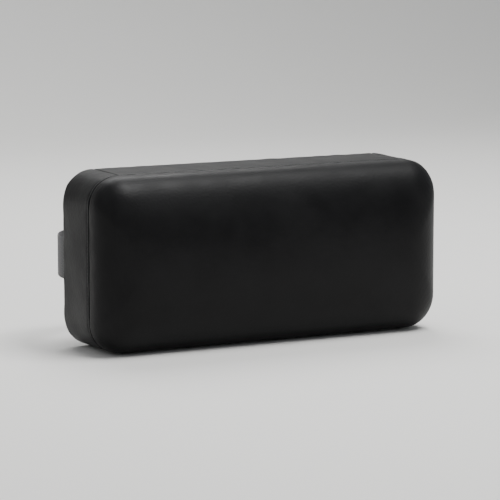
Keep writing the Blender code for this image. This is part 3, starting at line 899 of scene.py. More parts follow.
def spread(waves: int, pitch: float, seed: int, flatten: tuple[float, float, float]) -> np.ndarray:
    """Wave vectors for a soft noise: random directions, lengths near one pitch, squashed per axis."""
    chance = np.random.default_rng(seed)
    heading = chance.normal(size=(waves, 3)) * np.array(flatten)
    return unit(heading) * math.tau / (pitch * chance.uniform(0.6, 1.8, (waves, 1)))


def soft_noise(
    points: np.ndarray, pitch: float, seed: int, flatten: tuple[float, float, float] = (1, 1, 1)
) -> np.ndarray:
    """A smooth, uneven height from about -1 to 1 over space: a sum of nine plane waves.

    Args:
        points: Any layout whose last axis is X, Y, Z.
        pitch: The usual size of a bump.
        seed: Which noise it is.
        flatten: Weights of X, Y and Z in the waves' directions. At 0 nothing changes along it.

    Returns:
        The height at each point.
    """
    vectors = spread(9, pitch, seed, flatten)
    phase = np.random.default_rng(seed + 1).uniform(0, math.tau, 9)
    return np.sin(points @ vectors.T + phase).sum(axis=-1) / 4.5


def fine_steps(start: float, end: float, step: float, near: float) -> np.ndarray:
    """Places from start to end, a step apart, and much closer within near of both ends."""
    closer = near * (1 - np.cos(np.linspace(0, math.pi / 2, 8)))
    middle = np.linspace(start + near, end - near, max(int((end - start - 2 * near) / step), 2))
    return np.concatenate([start + closer[:-1], middle, (end - closer[:-1])[::-1]])


@dataclass
class Cover:
    """The sewn cover: a front, a band of four strips and a back in two parts.

    Each panel curls into its seams, and the thread gathers it a little there.
    """

    form: CushionForm
    body: str = "cushion"
    wall: float = 1.2 * MM
    seam_gap: float = 0.10 * MM
    groove_depth: float = 1.0 * MM
    groove_width: float = 0.9 * MM
    pucker_height: float = 0.32 * MM
    pucker_pitch: float = 12 * MM
    pucker_reach: float = 7 * MM
    topstitch: float = 3.2 * MM
    stitch_depth: float = 0.35 * MM
    stitch_width: float = 0.8 * MM
    roll: float = 0.9 * MM
    slack: float = 0.35 * MM
    slack_pitch: float = 55 * MM
    slack_fade: float = 20 * MM
    fold_fade: float = 12 * MM
    rear_radius: float = 2.5 * MM
    band_lip: float = 2 * MM
    cap: float = 4 * MM
    draw: float = 0.6 * MM
    draw_length: float = 30 * MM
    softening: int = 8
    frames: int = 20
    fabric: dict[str, float] = field(
        default_factory=lambda: {
            "quality": 6,
            "mass": 0.3,
            "tension_stiffness": 20,
            "compression_stiffness": 20,
            "shear_stiffness": 8,
            "bending_stiffness": 10,
            "use_pressure": True,
            "uniform_pressure_force": 4.0,
        }
    )
    thread: Piece = field(default_factory=lambda: Piece("seam_thread"))
    stitching: Stitching = field(default_factory=Stitching)

    def inflate(self) -> np.ndarray:
        """Lets pressure fill the cover as cloth, held at its front seam and its flat rear.

        The body starts drawn in by an amount that falls smoothly to 0 over its last part
        before the rear, because it swells. The cloth is cut to the form's own size, so it fills
        out without folds. No point moves further than the cap: a move m becomes
        cap * tanh(m / cap).

        Returns:
            Where the cloth came to lie, in the layout of the form's closed mesh.
        """
        points, faces = self.form.closed()
        share = np.clip((self.form.rear_y - points[:, 1]) / self.draw_length, 0, 1)
        share = (share * share * (3 - 2 * share))[:, None]
        halves = np.array([self.form.half_x, math.inf, self.form.half_z])
        points = points - self.draw * share * points / halves
        mesh = bpy.data.meshes.new("cover_cloth")
        mesh.from_pydata(points.tolist(), [], faces)
        cloth = bpy.data.objects.new("cover_cloth", mesh)
        scene = bpy.context.scene
        scene.collection.objects.link(cloth)
        held = cloth.vertex_groups.new(name="held")
        front = self.form.depths().size
        seam = np.flatnonzero(self.form.depths().ravel() == 0)
        held.add([*seam.tolist(), *range(front, 2 * front)], 1.0, "REPLACE")
        modifier = cloth.modifiers.new("pressure", "CLOTH")
        settings = modifier.settings
        for name, value in self.fabric.items():
            setattr(settings, name, value)
        settings.effector_weights.gravity = 0.0
        settings.vertex_group_mass = held.name
        modifier.point_cache.frame_start = 1
        modifier.point_cache.frame_end = self.frames
        for frame in range(1, self.frames + 1):
            scene.frame_set(frame)
        settled = cloth.evaluated_get(bpy.context.evaluated_depsgraph_get()).data
        after = np.zeros(points.size)
        settled.vertices.foreach_get("co", after)
        move = self.even(after.reshape(-1, 3) - points, faces)
        length = np.maximum(np.linalg.norm(move, axis=1, keepdims=True), 1e-9)
        LOG.info("cloth moved %.1f mm at most, %.1f on average", length.max() / MM, length.mean() / MM)
        bpy.data.objects.remove(cloth)
        scene.frame_set(1)
        return points + move * self.cap * np.tanh(length / self.cap) / length

    def even(self, move: np.ndarray, faces: Faces) -> np.ndarray:
        """Softens folds that are sharper than cloth on foam makes them.

        Each point's move becomes the mean of its own and of its neighbours' mean, again
        and again. Held points stay at 0.
        """
        corners = np.array(faces)
        ends = np.concatenate([np.stack([corners[:, k], corners[:, k - 1]], axis=1) for k in range(4)])
        ends = np.concatenate([ends, ends[:, ::-1]])
        count = np.bincount(ends[:, 0], minlength=len(move))[:, None]
        still = np.linalg.norm(move, axis=1) < 0.001 * MM
        for _ in range(self.softening):
            around = np.stack(
                [np.bincount(ends[:, 0], move[ends[:, 1], k], len(move)) for k in range(3)], axis=1
            )
            move = (move + around / count) / 2
            move[still] = 0.0
        return move

    def settle(
        self, points: np.ndarray, distances: Sequence[np.ndarray], seed: int, stitched: np.ndarray | None
    ) -> tuple[np.ndarray, np.ndarray]:
        """Curls a panel into its seams and gathers it beside them.

        At a distance d from a seam the cloth sinks by groove_depth * exp(-(d / width)**2) and
        ripples by pucker_height * exp(-d / reach). Under a row of topstitching it dips.

        Args:
            points: The panel, as a grid whose normals point outwards.
            distances: For each seam, how far every point is from it.
            seed: Which ripples.
            stitched: How far every point is from a row of topstitching, if it has one.

        Returns:
            The panel's points, and its normals.
        """
        normals = grid_normals(points)
        nearest = np.minimum.reduce(list(distances))
        groove = sum(np.exp(-((d / self.groove_width) ** 2)) for d in distances)
        gather = soft_noise(points, self.pucker_pitch, seed) * np.exp(-nearest / self.pucker_reach)
        height = self.pucker_height * gather * (1 - np.exp(-nearest / MM))
        height = height - self.groove_depth * np.minimum(groove, 1.0)
        if stitched is not None:
            height = height - self.stitch_depth * np.exp(-((stitched / self.stitch_width) ** 2))
        moved = points + normals * height[..., None]
        return moved, grid_normals(moved)

    def topstitched(
        self, points: np.ndarray, edges: Sequence[np.ndarray], seed: int, walked: np.ndarray, margin: int
    ) -> np.ndarray:
        """Settles a panel and sews a row of topstitching along one of its seams.

        Args:
            points: The panel, as a grid whose normals point outwards.
            edges: For each seam, how far every point is from it.
            seed: Which ripples.
            walked: How far every point is from the seam that the row runs along.
            margin: How many columns the row stops short of each end.

        Returns:
            The panel's points.
        """
        points, normals = self.settle(points, edges, seed, walked - self.topstitch)
        row = int(np.argmin(np.abs(walked[:, 0] - self.topstitch)))
        inner = slice(margin, -margin)
        self.stitching.sew(self.thread, points[row, inner], normals[row, inner])
        return points

    def build_front(self, front: np.ndarray) -> None:
        """Makes the crowned front panel from the cloth's front grid."""
        i = fine_steps(0, self.form.cells_x, 1 / 3, 1.0)
        j = fine_steps(0, self.form.cells_z, 1 / 3, 1.0)
        points = smooth_at(front, i)
        points = smooth_at(points.swapaxes(0, 1), j).swapaxes(0, 1)
        middle = self.form.front()[self.form.cells_x // 2, : self.form.cells_z // 2 + 1]
        walked = walk(middle)
        ring_i = np.minimum(i, self.form.cells_x - i)[:, None]
        ring_j = np.minimum(j, self.form.cells_z - j)[None]
        distance = np.interp(np.minimum(ring_i, ring_j), np.arange(len(walked)), walked)
        points = points[:, ::-1]
        points[..., 1] -= self.seam_gap * np.exp(-distance / MM)
        points, _ = self.settle(points, [distance], 11, None)
        piece = Piece("cover_front")
        piece.add(points, grid_faces(*points.shape[:2]), points[..., [0, 2]])
        obj = piece.finish(Material.COVER, self.body, ["front_panel"], self.wall)

    def rear_arc(self, ring: np.ndarray, cloth: np.ndarray) -> np.ndarray:
        """Rows of the band's rear corner, as a quarter circle.

        An angle a of 0 to 90 degrees moves the ring inwards by radius * (1 - cos a) and
        back by radius * sin a. What the cloth stands off the ring fades as cos a.

        Args:
            ring: The outline where the corner begins.
            cloth: Where the cloth comes to lie there.

        Returns:
            The rows, six by the ring's points by three.
        """
        heading = np.roll(ring, -1, axis=0) - np.roll(ring, 1, axis=0)
        outward = unit(combine(heading[:, 2], 0.0, -heading[:, 0]))
        angle = np.linspace(0, math.pi / 2, 7)[1:, None, None]
        back = np.array([0.0, self.rear_radius, 0.0])
        turned = ring[None] - outward[None] * self.rear_radius * (1 - np.cos(angle))
        return turned + (cloth - ring)[None] * np.cos(angle) + back * np.sin(angle)

    def build_band(self, band: np.ndarray) -> None:
        """Makes the four strips of the band from the cloth's band grid.

        A strip is a range of places on the rim, where one cell is a few millimetres long.
        """
        form = self.form
        flat_end = form.band_cells * (1 - self.rear_radius / (form.rear_y - form.seam_y))
        rows = fine_steps(0, flat_end, 1 / 3, 0.8)
        around = len(form.rim())
        reach = form.half_x - form.corner * (1 - math.pi / 4)
        lip = form.half_x - form.corner - self.band_lip
        seam_x = lip / reach * form.cells_x / 2
        low, high = form.cells_x / 2 - seam_x, form.cells_x / 2 + seam_x
        top_start = form.cells_x + form.cells_z
        turn = top_start + form.cells_x
        strips = {
            "cover_bottom": ("bottom_gusset", low, high),
            "cover_right_end": ("right_end_panel", high, turn - high),
            "cover_top": ("top_gusset", turn - high, turn - low),
            "cover_left_end": ("left_end_panel", turn - low, around + low),
        }
        cell = 2 * reach / form.cells_x
        for seed, (name, (node, start, end)) in enumerate(strips.items()):
            hair = self.seam_gap / cell
            columns = fine_steps(start + hair, end - hair, 1 / 3, 0.8)
            points = smooth_at(band, rows)
            ring = band[-1] - (0, self.rear_radius, 0)
            points = np.concatenate([points, self.rear_arc(ring, points[-1])])
            columns = columns[::-1]
            points = smooth_at(points.swapaxes(0, 1), columns, closed=True).swapaxes(0, 1)
            walked = walk(points[:, len(columns) // 2])[:, None] + 0 * columns[None]
            sideways = (columns - start)[None] * cell + 0 * walked
            edges = [walked, walked[-1:] - walked, sideways, (end - start) * cell - sideways]
            points = self.topstitched(points, edges, 20 + seed, walked, 4)
            piece = Piece(name)
            piece.add(points, grid_faces(*points.shape[:2]), np.stack([sideways, walked], axis=-1))
            obj = piece.finish(Material.COVER, self.body, [node], self.wall)

    def build_back(self, name: str, node: str, zip_edge: float) -> None:
        """Makes one part of the flat back, from its folded edge at the zip to the rear seam.

        At a height z the part reaches to half_x, less what its round corner takes there. The
        folded edge rolls in as a quarter circle.

        Args:
            name: The new piece's name.
            node: The plain node that it replaces.
            zip_edge: Z of the folded edge.
        """
        inset = self.rear_radius + 2 * self.seam_gap
        half_x, half_z = self.form.half_x - inset, self.form.half_z - inset
        corner = self.form.corner - inset
        side = math.copysign(1.0, zip_edge - (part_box(node)[0].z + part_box(node)[1].z) / 2)
        far = -side * half_z
        share = fine_steps(0, 1, 1 / 60, 0.06)
        z = (zip_edge + (far - zip_edge) * share)[:, None]
        into = np.maximum(np.abs(z) - (half_z - corner), 0.0)
        reach = half_x - corner + np.sqrt(np.maximum(corner**2 - into**2, 0.0))
        across = fine_steps(-1, 1, 1 / 80, 0.04)[None]
        x = reach * across
        z = z + 0 * across
        fold = np.abs(z - zip_edge)
        turn = 1 - np.minimum(fold / self.roll, 1)
        height = -self.roll * (1 - np.sqrt(np.clip(1 - turn**2, 0, 1)))
        points = combine(x, self.form.rear_y + height, z)
        edges = [(reach - np.abs(x)), np.abs(z - far)]
        loose = soft_noise(points, self.slack_pitch, 41, (1, 0, 1))
        loose = loose * np.minimum(np.minimum(*edges) / self.slack_fade, 1)
        points[..., 1] += self.slack * loose * np.minimum(fold / self.fold_fade, 1)
        if side < 0:
            points = points[:, ::-1]
            edges = [edge[:, ::-1] for edge in edges]
            fold = fold[:, ::-1]
        points = self.topstitched(points, edges, 43, fold, 6)
        piece = Piece(name)
        piece.add(points, grid_faces(*points.shape[:2]), points[..., [0, 2]])
        piece.finish(Material.BACK, self.body, [node], self.wall)

    def build(self) -> np.ndarray:
        """Makes the whole cover and its thread.

        Returns:
            Where the cloth lies, in the layout of the form's closed mesh.
        """
        cloth = self.inflate()
        self.build_front(self.form.front_of(cloth))
        self.build_band(self.form.band_of(cloth))
        self.build_back("cover_back_upper", "back_panel_upper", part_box("back_panel_upper")[0].z)
        self.build_back("cover_back_lower", "back_panel_lower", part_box("back_panel_lower")[1].z)
        self.thread.finish(Material.THREAD, self.body)
        return cloth


@dataclass
class Filling:
    """The moulded foam: the cover's form at a depth under the cloth, flat behind."""

    form: CushionForm
    rear_y: float
    depth: float = 3.6 * MM
    dimple: float = 0.4 * MM
    body: str = "cushion"

    def build(self, cloth: np.ndarray) -> None:
        """Makes the foam: each point of the cloth moves inwards by the depth and a dimple.

        Args:
            cloth: Where the cover lies, in the layout of the form's closed mesh.
        """
        _, faces = self.form.closed()
        mesh = bpy.data.meshes.new("foam_form")
        mesh.from_pydata(cloth.tolist(), [], faces)
        normals = np.zeros(cloth.size)
        mesh.vertex_normals.foreach_get("vector", normals)
        bpy.data.meshes.remove(mesh)
        sunk = self.depth + self.dimple * (1 + soft_noise(cloth, 24 * MM, 61))
        points = cloth - normals.reshape(-1, 3) * sunk[:, None]
        points[:, 1] = np.minimum(points[:, 1], self.rear_y)
        piece = Piece("foam_filling")
        piece.add(points, faces)
        obj = piece.finish(Material.FOAM, self.body, ["foam_core"])


# --- Zip ------------------------------------------------------------------------------


@dataclass
class Zip:
    """A coil zip: two tapes with a coil sewn to each, crimped ends, and a slider with a pull."""

    body: str = "cushion"
    tape: float = 0.7 * MM
    coil_pitch: float = 1.35 * MM
    filament: float = 0.28 * MM
    turn_points: int = 12
    reach: float = 0.95 * MM
    tape_reach: float = 1.6 * MM
    tape_edge: float = 0.45 * MM
    plate: float = 1.4 * MM
    neck: float = 0.6 * MM
    flange: float = 1.0 * MM
    bridge_length: float = 8.4 * MM
    bridge_width: float = 2.4 * MM
    bridge_bar: float = 0.8 * MM
    pull: float = 1.2 * MM
    eye_length: float = 6.4 * MM
    eye_width: float = 3.8 * MM
    tape_wave: float = 0.05 * MM
    tape_wave_pitch: float = 15 * MM
    crimp_corner: float = 0.8 * MM
    crimp_edge: float = 0.45 * MM
    crimp_rib: float = 0.25 * MM
    nose: float = 4.2 * MM
    heel: float = 1.6 * MM
    notch: float = 1.3 * MM
    shield_edges: tuple[float, float] = (0.15 * MM, 0.5 * MM)
    arch_power: float = 0.6
    grip_ribs: int = 4
    grip_pitch: float = 2.0 * MM

    def build_tape(self, side: str) -> None:
        """Makes a tape as a flat grid that waves a little along its length.

        It runs on under the band at both ends, and its inner edge lies beneath the coil.
        """
        low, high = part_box(f"zip_tape_{side}")
        ends = (low.x - self.tape_reach, high.x + self.tape_reach)
        edges = [high.z, low.z]
        inner = 1 if side == "upper" else 0
        edges[inner] += (-1 if side == "upper" else 1) * self.tape_edge
        x, z = np.meshgrid(np.linspace(*ends, 240), np.linspace(*edges, 11))
        wave = self.tape_wave * soft_noise(combine(x, 0.0, z), self.tape_wave_pitch, 71)
        points = combine(x, high.y + wave, z)
        piece = Piece(f"tape_{side}")
        piece.add(points, grid_faces(*points.shape[:2]), np.stack([x, z], axis=-1))
        piece.finish(Material.ZIP_TAPE, self.body, [f"zip_tape_{side}"], self.tape)

    def build_coil(self, side: str, sign: float) -> None:
        """Makes a coil as one long flattened helix.

        After t turns it is at X = start + pitch * t, with Y and Z on an ellipse. The other
        coil is half a turn on, and each passes the middle, so their heads interlock.
        """
        low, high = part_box(f"zip_coil_{side}")
        turns = int((high.x - low.x - 2 * self.filament) / self.coil_pitch)
        angle = np.linspace(0, math.tau * turns, turns * self.turn_points + 1)
        start = (low.x + high.x - turns * self.coil_pitch) / 2
        inner = (low.z if sign > 0 else high.z) - sign * self.reach
        outer = (high.z if sign > 0 else low.z) - sign * self.filament
        inner += sign * self.filament
        rise = (high.y - low.y) / 2 - self.filament
        phase = 0.0 if sign > 0 else math.pi
        path = combine(
            start + self.coil_pitch * angle / math.tau,
            (low.y + high.y) / 2 + rise * np.sin(angle + phase),
            (inner + outer) / 2 + (outer - inner) / 2 * np.cos(angle + phase),
        )
        piece = Piece(f"coil_{side}")
        tube(piece, path, self.filament, 6, X_AXIS)
        piece.finish(Material.ZIP_COIL, self.body, [f"zip_coil_{side}"])

    def build_stop(self, side: str) -> None:
        """Makes a crimped end: a rounded staple with three pressed ribs."""
        low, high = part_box(f"zip_stop_{side}")
        piece = Piece(f"end_crimp_{side}")
        outline = rounded((low.x, low.z), (high.x, high.z), self.crimp_corner)
        slab(piece, outline, low.y, high.y - 0.15 * MM, self.crimp_edge)
        rib_low, rib_high = low.z + 0.9 * MM, high.z - 0.9 * MM
        for step in (-1, 0, 1):
            x = (low.x + high.x) / 2 + step * 0.8 * MM
            rib = rounded((x - self.crimp_rib, rib_low), (x + self.crimp_rib, rib_high), 0.2 * MM)
            slab(piece, rib, high.y - 0.5 * MM, high.y, 0.15 * MM)
        piece.finish(Material.ZIP_METAL, self.body, [f"zip_stop_{side}"])

    def build_slider(self) -> None:
        """Makes the slider: two shields, the neck, two flanges and an arched bridge.

        The arch is a superellipse: X = a * cos(t)**power and Y = b * sin(t)**power.
        """
        low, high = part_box("zip_slider")
        x, z = (low.x + high.x) / 2, (low.z + high.z) / 2
        half_z = (high.z - low.z) / 2
        coil_low, coil_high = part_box("zip_coil_upper")
        top = coil_high.y + 0.3 * MM
        shield = np.array(
            [
                (low.x, z - 0.62 * half_z),
                (low.x + self.nose, low.z),
                (high.x - self.heel, low.z),
                (high.x, z - 0.55 * half_z),
                (high.x - self.notch, z),
                (high.x, z + 0.55 * half_z),
                (high.x - self.heel, high.z),
                (low.x + self.nose, high.z),
                (low.x, z + 0.62 * half_z),
            ]
        )
        shield = soften(shield, 1.4 * MM, 6)
        piece = Piece("slider_body")
        slab(piece, shield, top, top + self.plate, self.shield_edges)
        slab(piece, shield, low.y, low.y + self.plate, self.shield_edges[::-1])
        neck = rounded((x - 1.2 * MM, z - self.neck / 2), (x + 1.2 * MM, z + self.neck / 2), 0.28 * MM)
        slab(piece, neck, low.y + self.plate / 2, top + self.plate / 2, 0.05 * MM)
        for sign in (-1, 1):
            ends = sorted((z + sign * (half_z - 0.05 * MM), z + sign * (half_z - self.flange)))
            flange = rounded((low.x + 4.0 * MM, ends[0]), (high.x - 1.4 * MM, ends[1]), 0.45 * MM)
            slab(piece, flange, coil_low.y, top + 0.3 * MM, 0.15 * MM)
        t = np.linspace(0, math.pi, 25)
        half, base = (self.bridge_length - 1.2 * MM) / 2, top + self.plate - 0.3 * MM
        rise = high.y - self.bridge_bar / 2 - base
        swing = np.sign(np.cos(t)) * np.abs(np.cos(t)) ** self.arch_power
        arch = combine(x + half * swing, base + rise * np.sin(t) ** self.arch_power, z)
        heading = unit(np.gradient(arch, axis=0))
        width = self.bridge_width / 2 * (1 + 0.12 * np.abs(np.cos(t)))
        section = rounded((-1, -1), (1, 1), 0.5, 3)[None] * np.stack(
            [width, np.full_like(t, self.bridge_bar / 2)], axis=1
        )[:, None]
        sweep(piece, arch, Z_AXIS, np.cross(heading, Z_AXIS), section)
        piece.finish(Material.ZIP_METAL, "slider", ["zip_slider"])

    def build_pull(self) -> None:
        """Makes the pull: a bar that turns under the bridge, two arms and a waisted, ribbed tab."""
        low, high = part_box("zip_pull")
        y, z = (low.y + high.y) / 2, (low.z + high.z) / 2
        half, bar_x = self.pull / 2, high.x - self.pull
        eye_x = bar_x - self.eye_length
        reach = (high.z - low.z) / 2
        piece = Piece("pull_tab")
        bar = np.linspace(-reach + 0.9 * MM, reach - 0.9 * MM, 9)
        tube(piece, combine(high.x - half, y, z + bar), half, 16, X_AXIS)
        for sign in (-1, 1):
            ends = sorted((z + sign * self.eye_width / 2, z + sign * (reach - 0.1 * MM)))
            arm = rounded((eye_x - 2 * MM, ends[0]), (high.x, ends[1]), 0.85 * MM)
            slab(piece, arm, y - half + 0.02 * MM, y + half - 0.02 * MM, 0.3 * MM)
        tab = np.array([(eye_x, 1.0), (eye_x - 6 * MM, 0.74), (low.x + 6 * MM, 0.86), (low.x, 0.72)])
        tab[:, 1] *= reach
        tab = np.concatenate([tab, tab[::-1] * (1, -1)]) + (0, z)
        slab(piece, soften(tab, 2.2 * MM, 6), y - half, y + half, 0.35 * MM)
        for step in range(self.grip_ribs):
            x = low.x + 3.2 * MM + self.grip_pitch * step
            rib = rounded((x - 0.4 * MM, z - 0.5 * reach), (x + 0.4 * MM, z + 0.5 * reach), 0.39 * MM)
            slab(piece, rib, y - half - 0.15 * MM, y + half + 0.15 * MM, 0.14 * MM)
        piece.finish(Material.ZIP_METAL, "pull", ["zip_pull"])

    def build(self) -> None:
        """Makes the whole zip."""
        for side, sign in (("upper", 1.0), ("lower", -1.0)):
            self.build_tape(side)
            self.build_coil(side, sign)
        for side in ("left", "right"):
            self.build_stop(side)
        self.build_slider()
        self.build_pull()


# --- Strap and buckle -----------------------------------------------------------------


@dataclass
class Straps:
    """The webbing: from the left end seam round the socket's bar and back to the adjuster,
    and from the right end seam round the plug's bar to a sewn hem.
    """

    thickness: float = 1.4 * MM
    rib: float = 2.1 * MM
    relief: float = 0.07 * MM
    step: float = 1.1 * MM
    rise: float = 2.0 * MM
    turn_length: float = 48 * MM
    bar_width: float = 5.0 * MM
    gap: float = 0.3 * MM
    hem_slope: float = 10 * MM
    hem_length: float = 26 * MM
    tail_hem: float = 8 * MM
    wrap_end: float = 120.0
    sewn: float = 0.8
    pin: float = 1.3 * MM
    body: str = "cushion"
    stitching: Stitching = field(default_factory=lambda: Stitching(pitch=3.0 * MM, thread=0.5 * MM))

    def __post_init__(self) -> None:
        """Reads where the straight run, the return run and the seams lie."""
        low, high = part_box("left_strap")
        self.half = high.z
        self.seam_x = -low.x - self.thickness / 2
        self.depth = -low.y
        self.run_y = high.y - self.thickness / 2
        plug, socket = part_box("buckle_plug"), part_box("buckle_socket")
        self.buckle_y = (socket[0].y + socket[1].y) / 2
        self.return_y = 2 * self.buckle_y - self.run_y
        self.socket_bar_x = socket[0].x + self.bar_width
        self.plug_bar_x = plug[1].x - self.bar_width
        self.plug_end_x = plug[1].x

    @staticmethod
    def arc(
        centre: tuple[float, float], radii: tuple[float, float], start: float, end: float
    ) -> np.ndarray:
        """Points of an elliptical arc in X and Y, from one angle in degrees to another."""
        angle = np.radians(np.linspace(start, end, 40))
        return np.stack(
            [centre[0] + radii[0] * np.cos(angle), centre[1] + radii[1] * np.sin(angle)], axis=1
        )

    def seam_turn(self, side: int) -> np.ndarray:
        """The way out of an end seam: straight, then a quarter ellipse to the straight run."""
        centre = (side * (self.seam_x - self.turn_length), self.rise)
        radii = (side * self.turn_length, self.run_y - self.rise)
        seam = [(side * self.seam_x, -self.depth), (side * self.seam_x, 0.0)]
        return np.concatenate([seam, self.arc(centre, radii, 0, 90)])

    def bar_turn(self, x: float, side: int) -> np.ndarray:
        """Half a turn round a buckle's bar."""
        radius = self.run_y - self.buckle_y
        return self.arc((x, self.buckle_y), (side * radius, radius), 90, -90)

    def lay(self, name: str, path: np.ndarray) -> Piece:
        """Makes a run of webbing, woven in ribs along it, with thin rounded edges.

        Across the strap the half thickness is a flat with a cosine ripple of one rib,
        which falls to nothing at the edges as a quarter circle.

        Args:
            name: The new piece's name.
            path: X and Y of the strap's middle.

        Returns:
            The piece, not yet finished.
        """
        walked = walk(path)
        at = np.linspace(0, walked[-1], int(walked[-1] / self.step) + 1)
        x, y = (np.interp(at, walked, path[:, k]) for k in (0, 1))
        heading = unit(np.stack([np.gradient(x), np.gradient(y)], axis=1))
        v = np.linspace(-self.half, self.half, 4 * round(2 * self.half / self.rib) + 1)
        round_edge = np.clip((self.half - np.abs(v)) / self.thickness, 0, 1)
        half = (self.thickness / 2 - self.relief) * np.sqrt(1 - (1 - round_edge) ** 2)
        half = half + self.relief * np.cos(math.tau * v / self.rib) * round_edge
        out = np.concatenate([half, -half[-2:0:-1]])
        across = np.concatenate([v, v[-2:0:-1]])
        points = combine(x[:, None] - heading[:, 1:] * out, y[:, None] + heading[:, :1] * out, across)
        uv = np.stack(np.broadcast_arrays(at[:, None], across[None]), axis=-1)
        piece = Piece(name)
        piece.add(points, shell_faces(len(x), len(across)), uv)
        return piece

    def box_stitch(
        self, name: str, body: str, low: tuple[float, float], high: tuple[float, float], faces: Sequence
    ) -> None:
        """Sews a box with a cross in it, on each given face of the strap.

        Args:
            name: The thread's name.
            body: The body that it rides on.
            low: Lowest X and Z of the box.
            high: Highest X and Z of the box.
            faces: Y of each face, and which way it looks: 1 or -1.
        """
        piece = Piece(name)
        corners = [(low[0], low[1]), (high[0], low[1]), (high[0], high[1]), (low[0], high[1])]
        rows = [(corners[k], corners[(k + 1) % 4]) for k in range(4)]
        rows += [(corners[0], corners[2]), (corners[1], corners[3])]
        for y, sign in faces:
            for start, end in rows:
                path = np.linspace((start[0], y, start[1]), (end[0], y, end[1]), 12)
                self.stitching.sew(piece, path, np.array((0.0, float(sign), 0.0)))
        piece.finish(Material.THREAD, body)

    def build_left(self) -> None:
        """Makes the long strap, and its tail that slides with the adjuster."""
        split = (self.socket_bar_x - self.thickness, self.return_y)
        path = [self.seam_turn(-1), self.bar_turn(self.socket_bar_x, 1), [split]]
        piece = self.lay("webbing_left", np.concatenate(path))
        piece.finish(Material.WEBBING, self.body, ["left_strap"])
        low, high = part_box("strap_adjuster")
        pin_x, pin_y = (low.x + high.x) / 2, low.y + self.pin
        radius = self.pin + self.gap + self.thickness / 2
        wrap = self.arc((pin_x, pin_y), (-radius, radius), -90, self.wrap_end)
        hem_y = pin_y - radius + self.thickness + 2 * self.gap
        hem_x = wrap[-1][0] + (wrap[-1][1] - hem_y) / math.tan(math.radians(self.wrap_end - 90))
        hem = [(hem_x, hem_y), (hem_x + self.tail_hem, hem_y)]
        piece = self.lay("webbing_tail", np.concatenate([[split], wrap, hem]))
        tail = piece.finish(Material.WEBBING, "", ["strap_tail"])
        end_x = hem_x + self.tail_hem
        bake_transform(tail)
        face = pin_y - radius - self.thickness / 2 - 0.05 * MM
        self.box_stitch(
            "tail_thread",
            "adjuster",
            (hem_x + 0.8 * MM, -self.sewn * self.half),
            (end_x - 0.8 * MM, self.sewn * self.half),
            [(face, -1)],
        )

    def build_right(self) -> None:
        """Makes the short strap, which gathers towards its seam as the plug is drawn out."""
        hem_y = self.run_y - self.thickness - self.gap
        hem_x = self.plug_end_x + self.hem_slope
        hem = [(self.plug_end_x, self.return_y), (hem_x, hem_y), (hem_x + self.hem_length, hem_y)]
        path = [self.seam_turn(1), self.bar_turn(self.plug_bar_x, -1), hem]
        piece = self.lay("webbing_right", np.concatenate(path))
        strap = piece.finish(Material.WEBBING, "", ["right_strap"])
        end_x = hem_x + self.hem_length
        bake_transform(strap)
        face = self.thickness / 2 + 0.02 * MM
        self.box_stitch(
            "hem_thread",
            "plug",
            (hem_x + 2 * MM, -self.sewn * self.half),
            (end_x - 2.5 * MM, self.sewn * self.half),
            [(self.run_y + face, 1), (hem_y - face, -1)],
        )

    def build_anchor(self, side: str) -> None:
        """Makes the patch inside a seam: a flat rounded section carried upwards."""
        low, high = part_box(f"strap_anchor_{side}")
        half_x, half_y = (high.x - low.x) / 2, (high.y - low.y) / 2
        z = np.linspace(low.z, high.z, 24)
        path = combine(low.x + half_x, low.y + half_y, z)
        tip = np.clip(np.minimum(z - low.z, high.z - z) / (2 * MM), 0, 1)
        shrink = np.sqrt(1 - (1 - tip) ** 2 * 0.36)
        section = rounded((-half_x, -half_y), (half_x, half_y), 0.55 * MM)[None]
        section = section * np.stack([np.ones_like(z), shrink], axis=1)[:, None]
        piece = Piece(f"anchor_patch_{side}")
        sweep(piece, path, X_AXIS, Y_AXIS, section)
        piece.finish(Material.BACK, self.body, [f"strap_anchor_{side}"])

    def build(self) -> None:
        """Makes both straps, their threads and the patches at their ends."""
        self.build_left()
        self.build_right()
        for side in ("left", "right"):
            self.build_anchor(side)


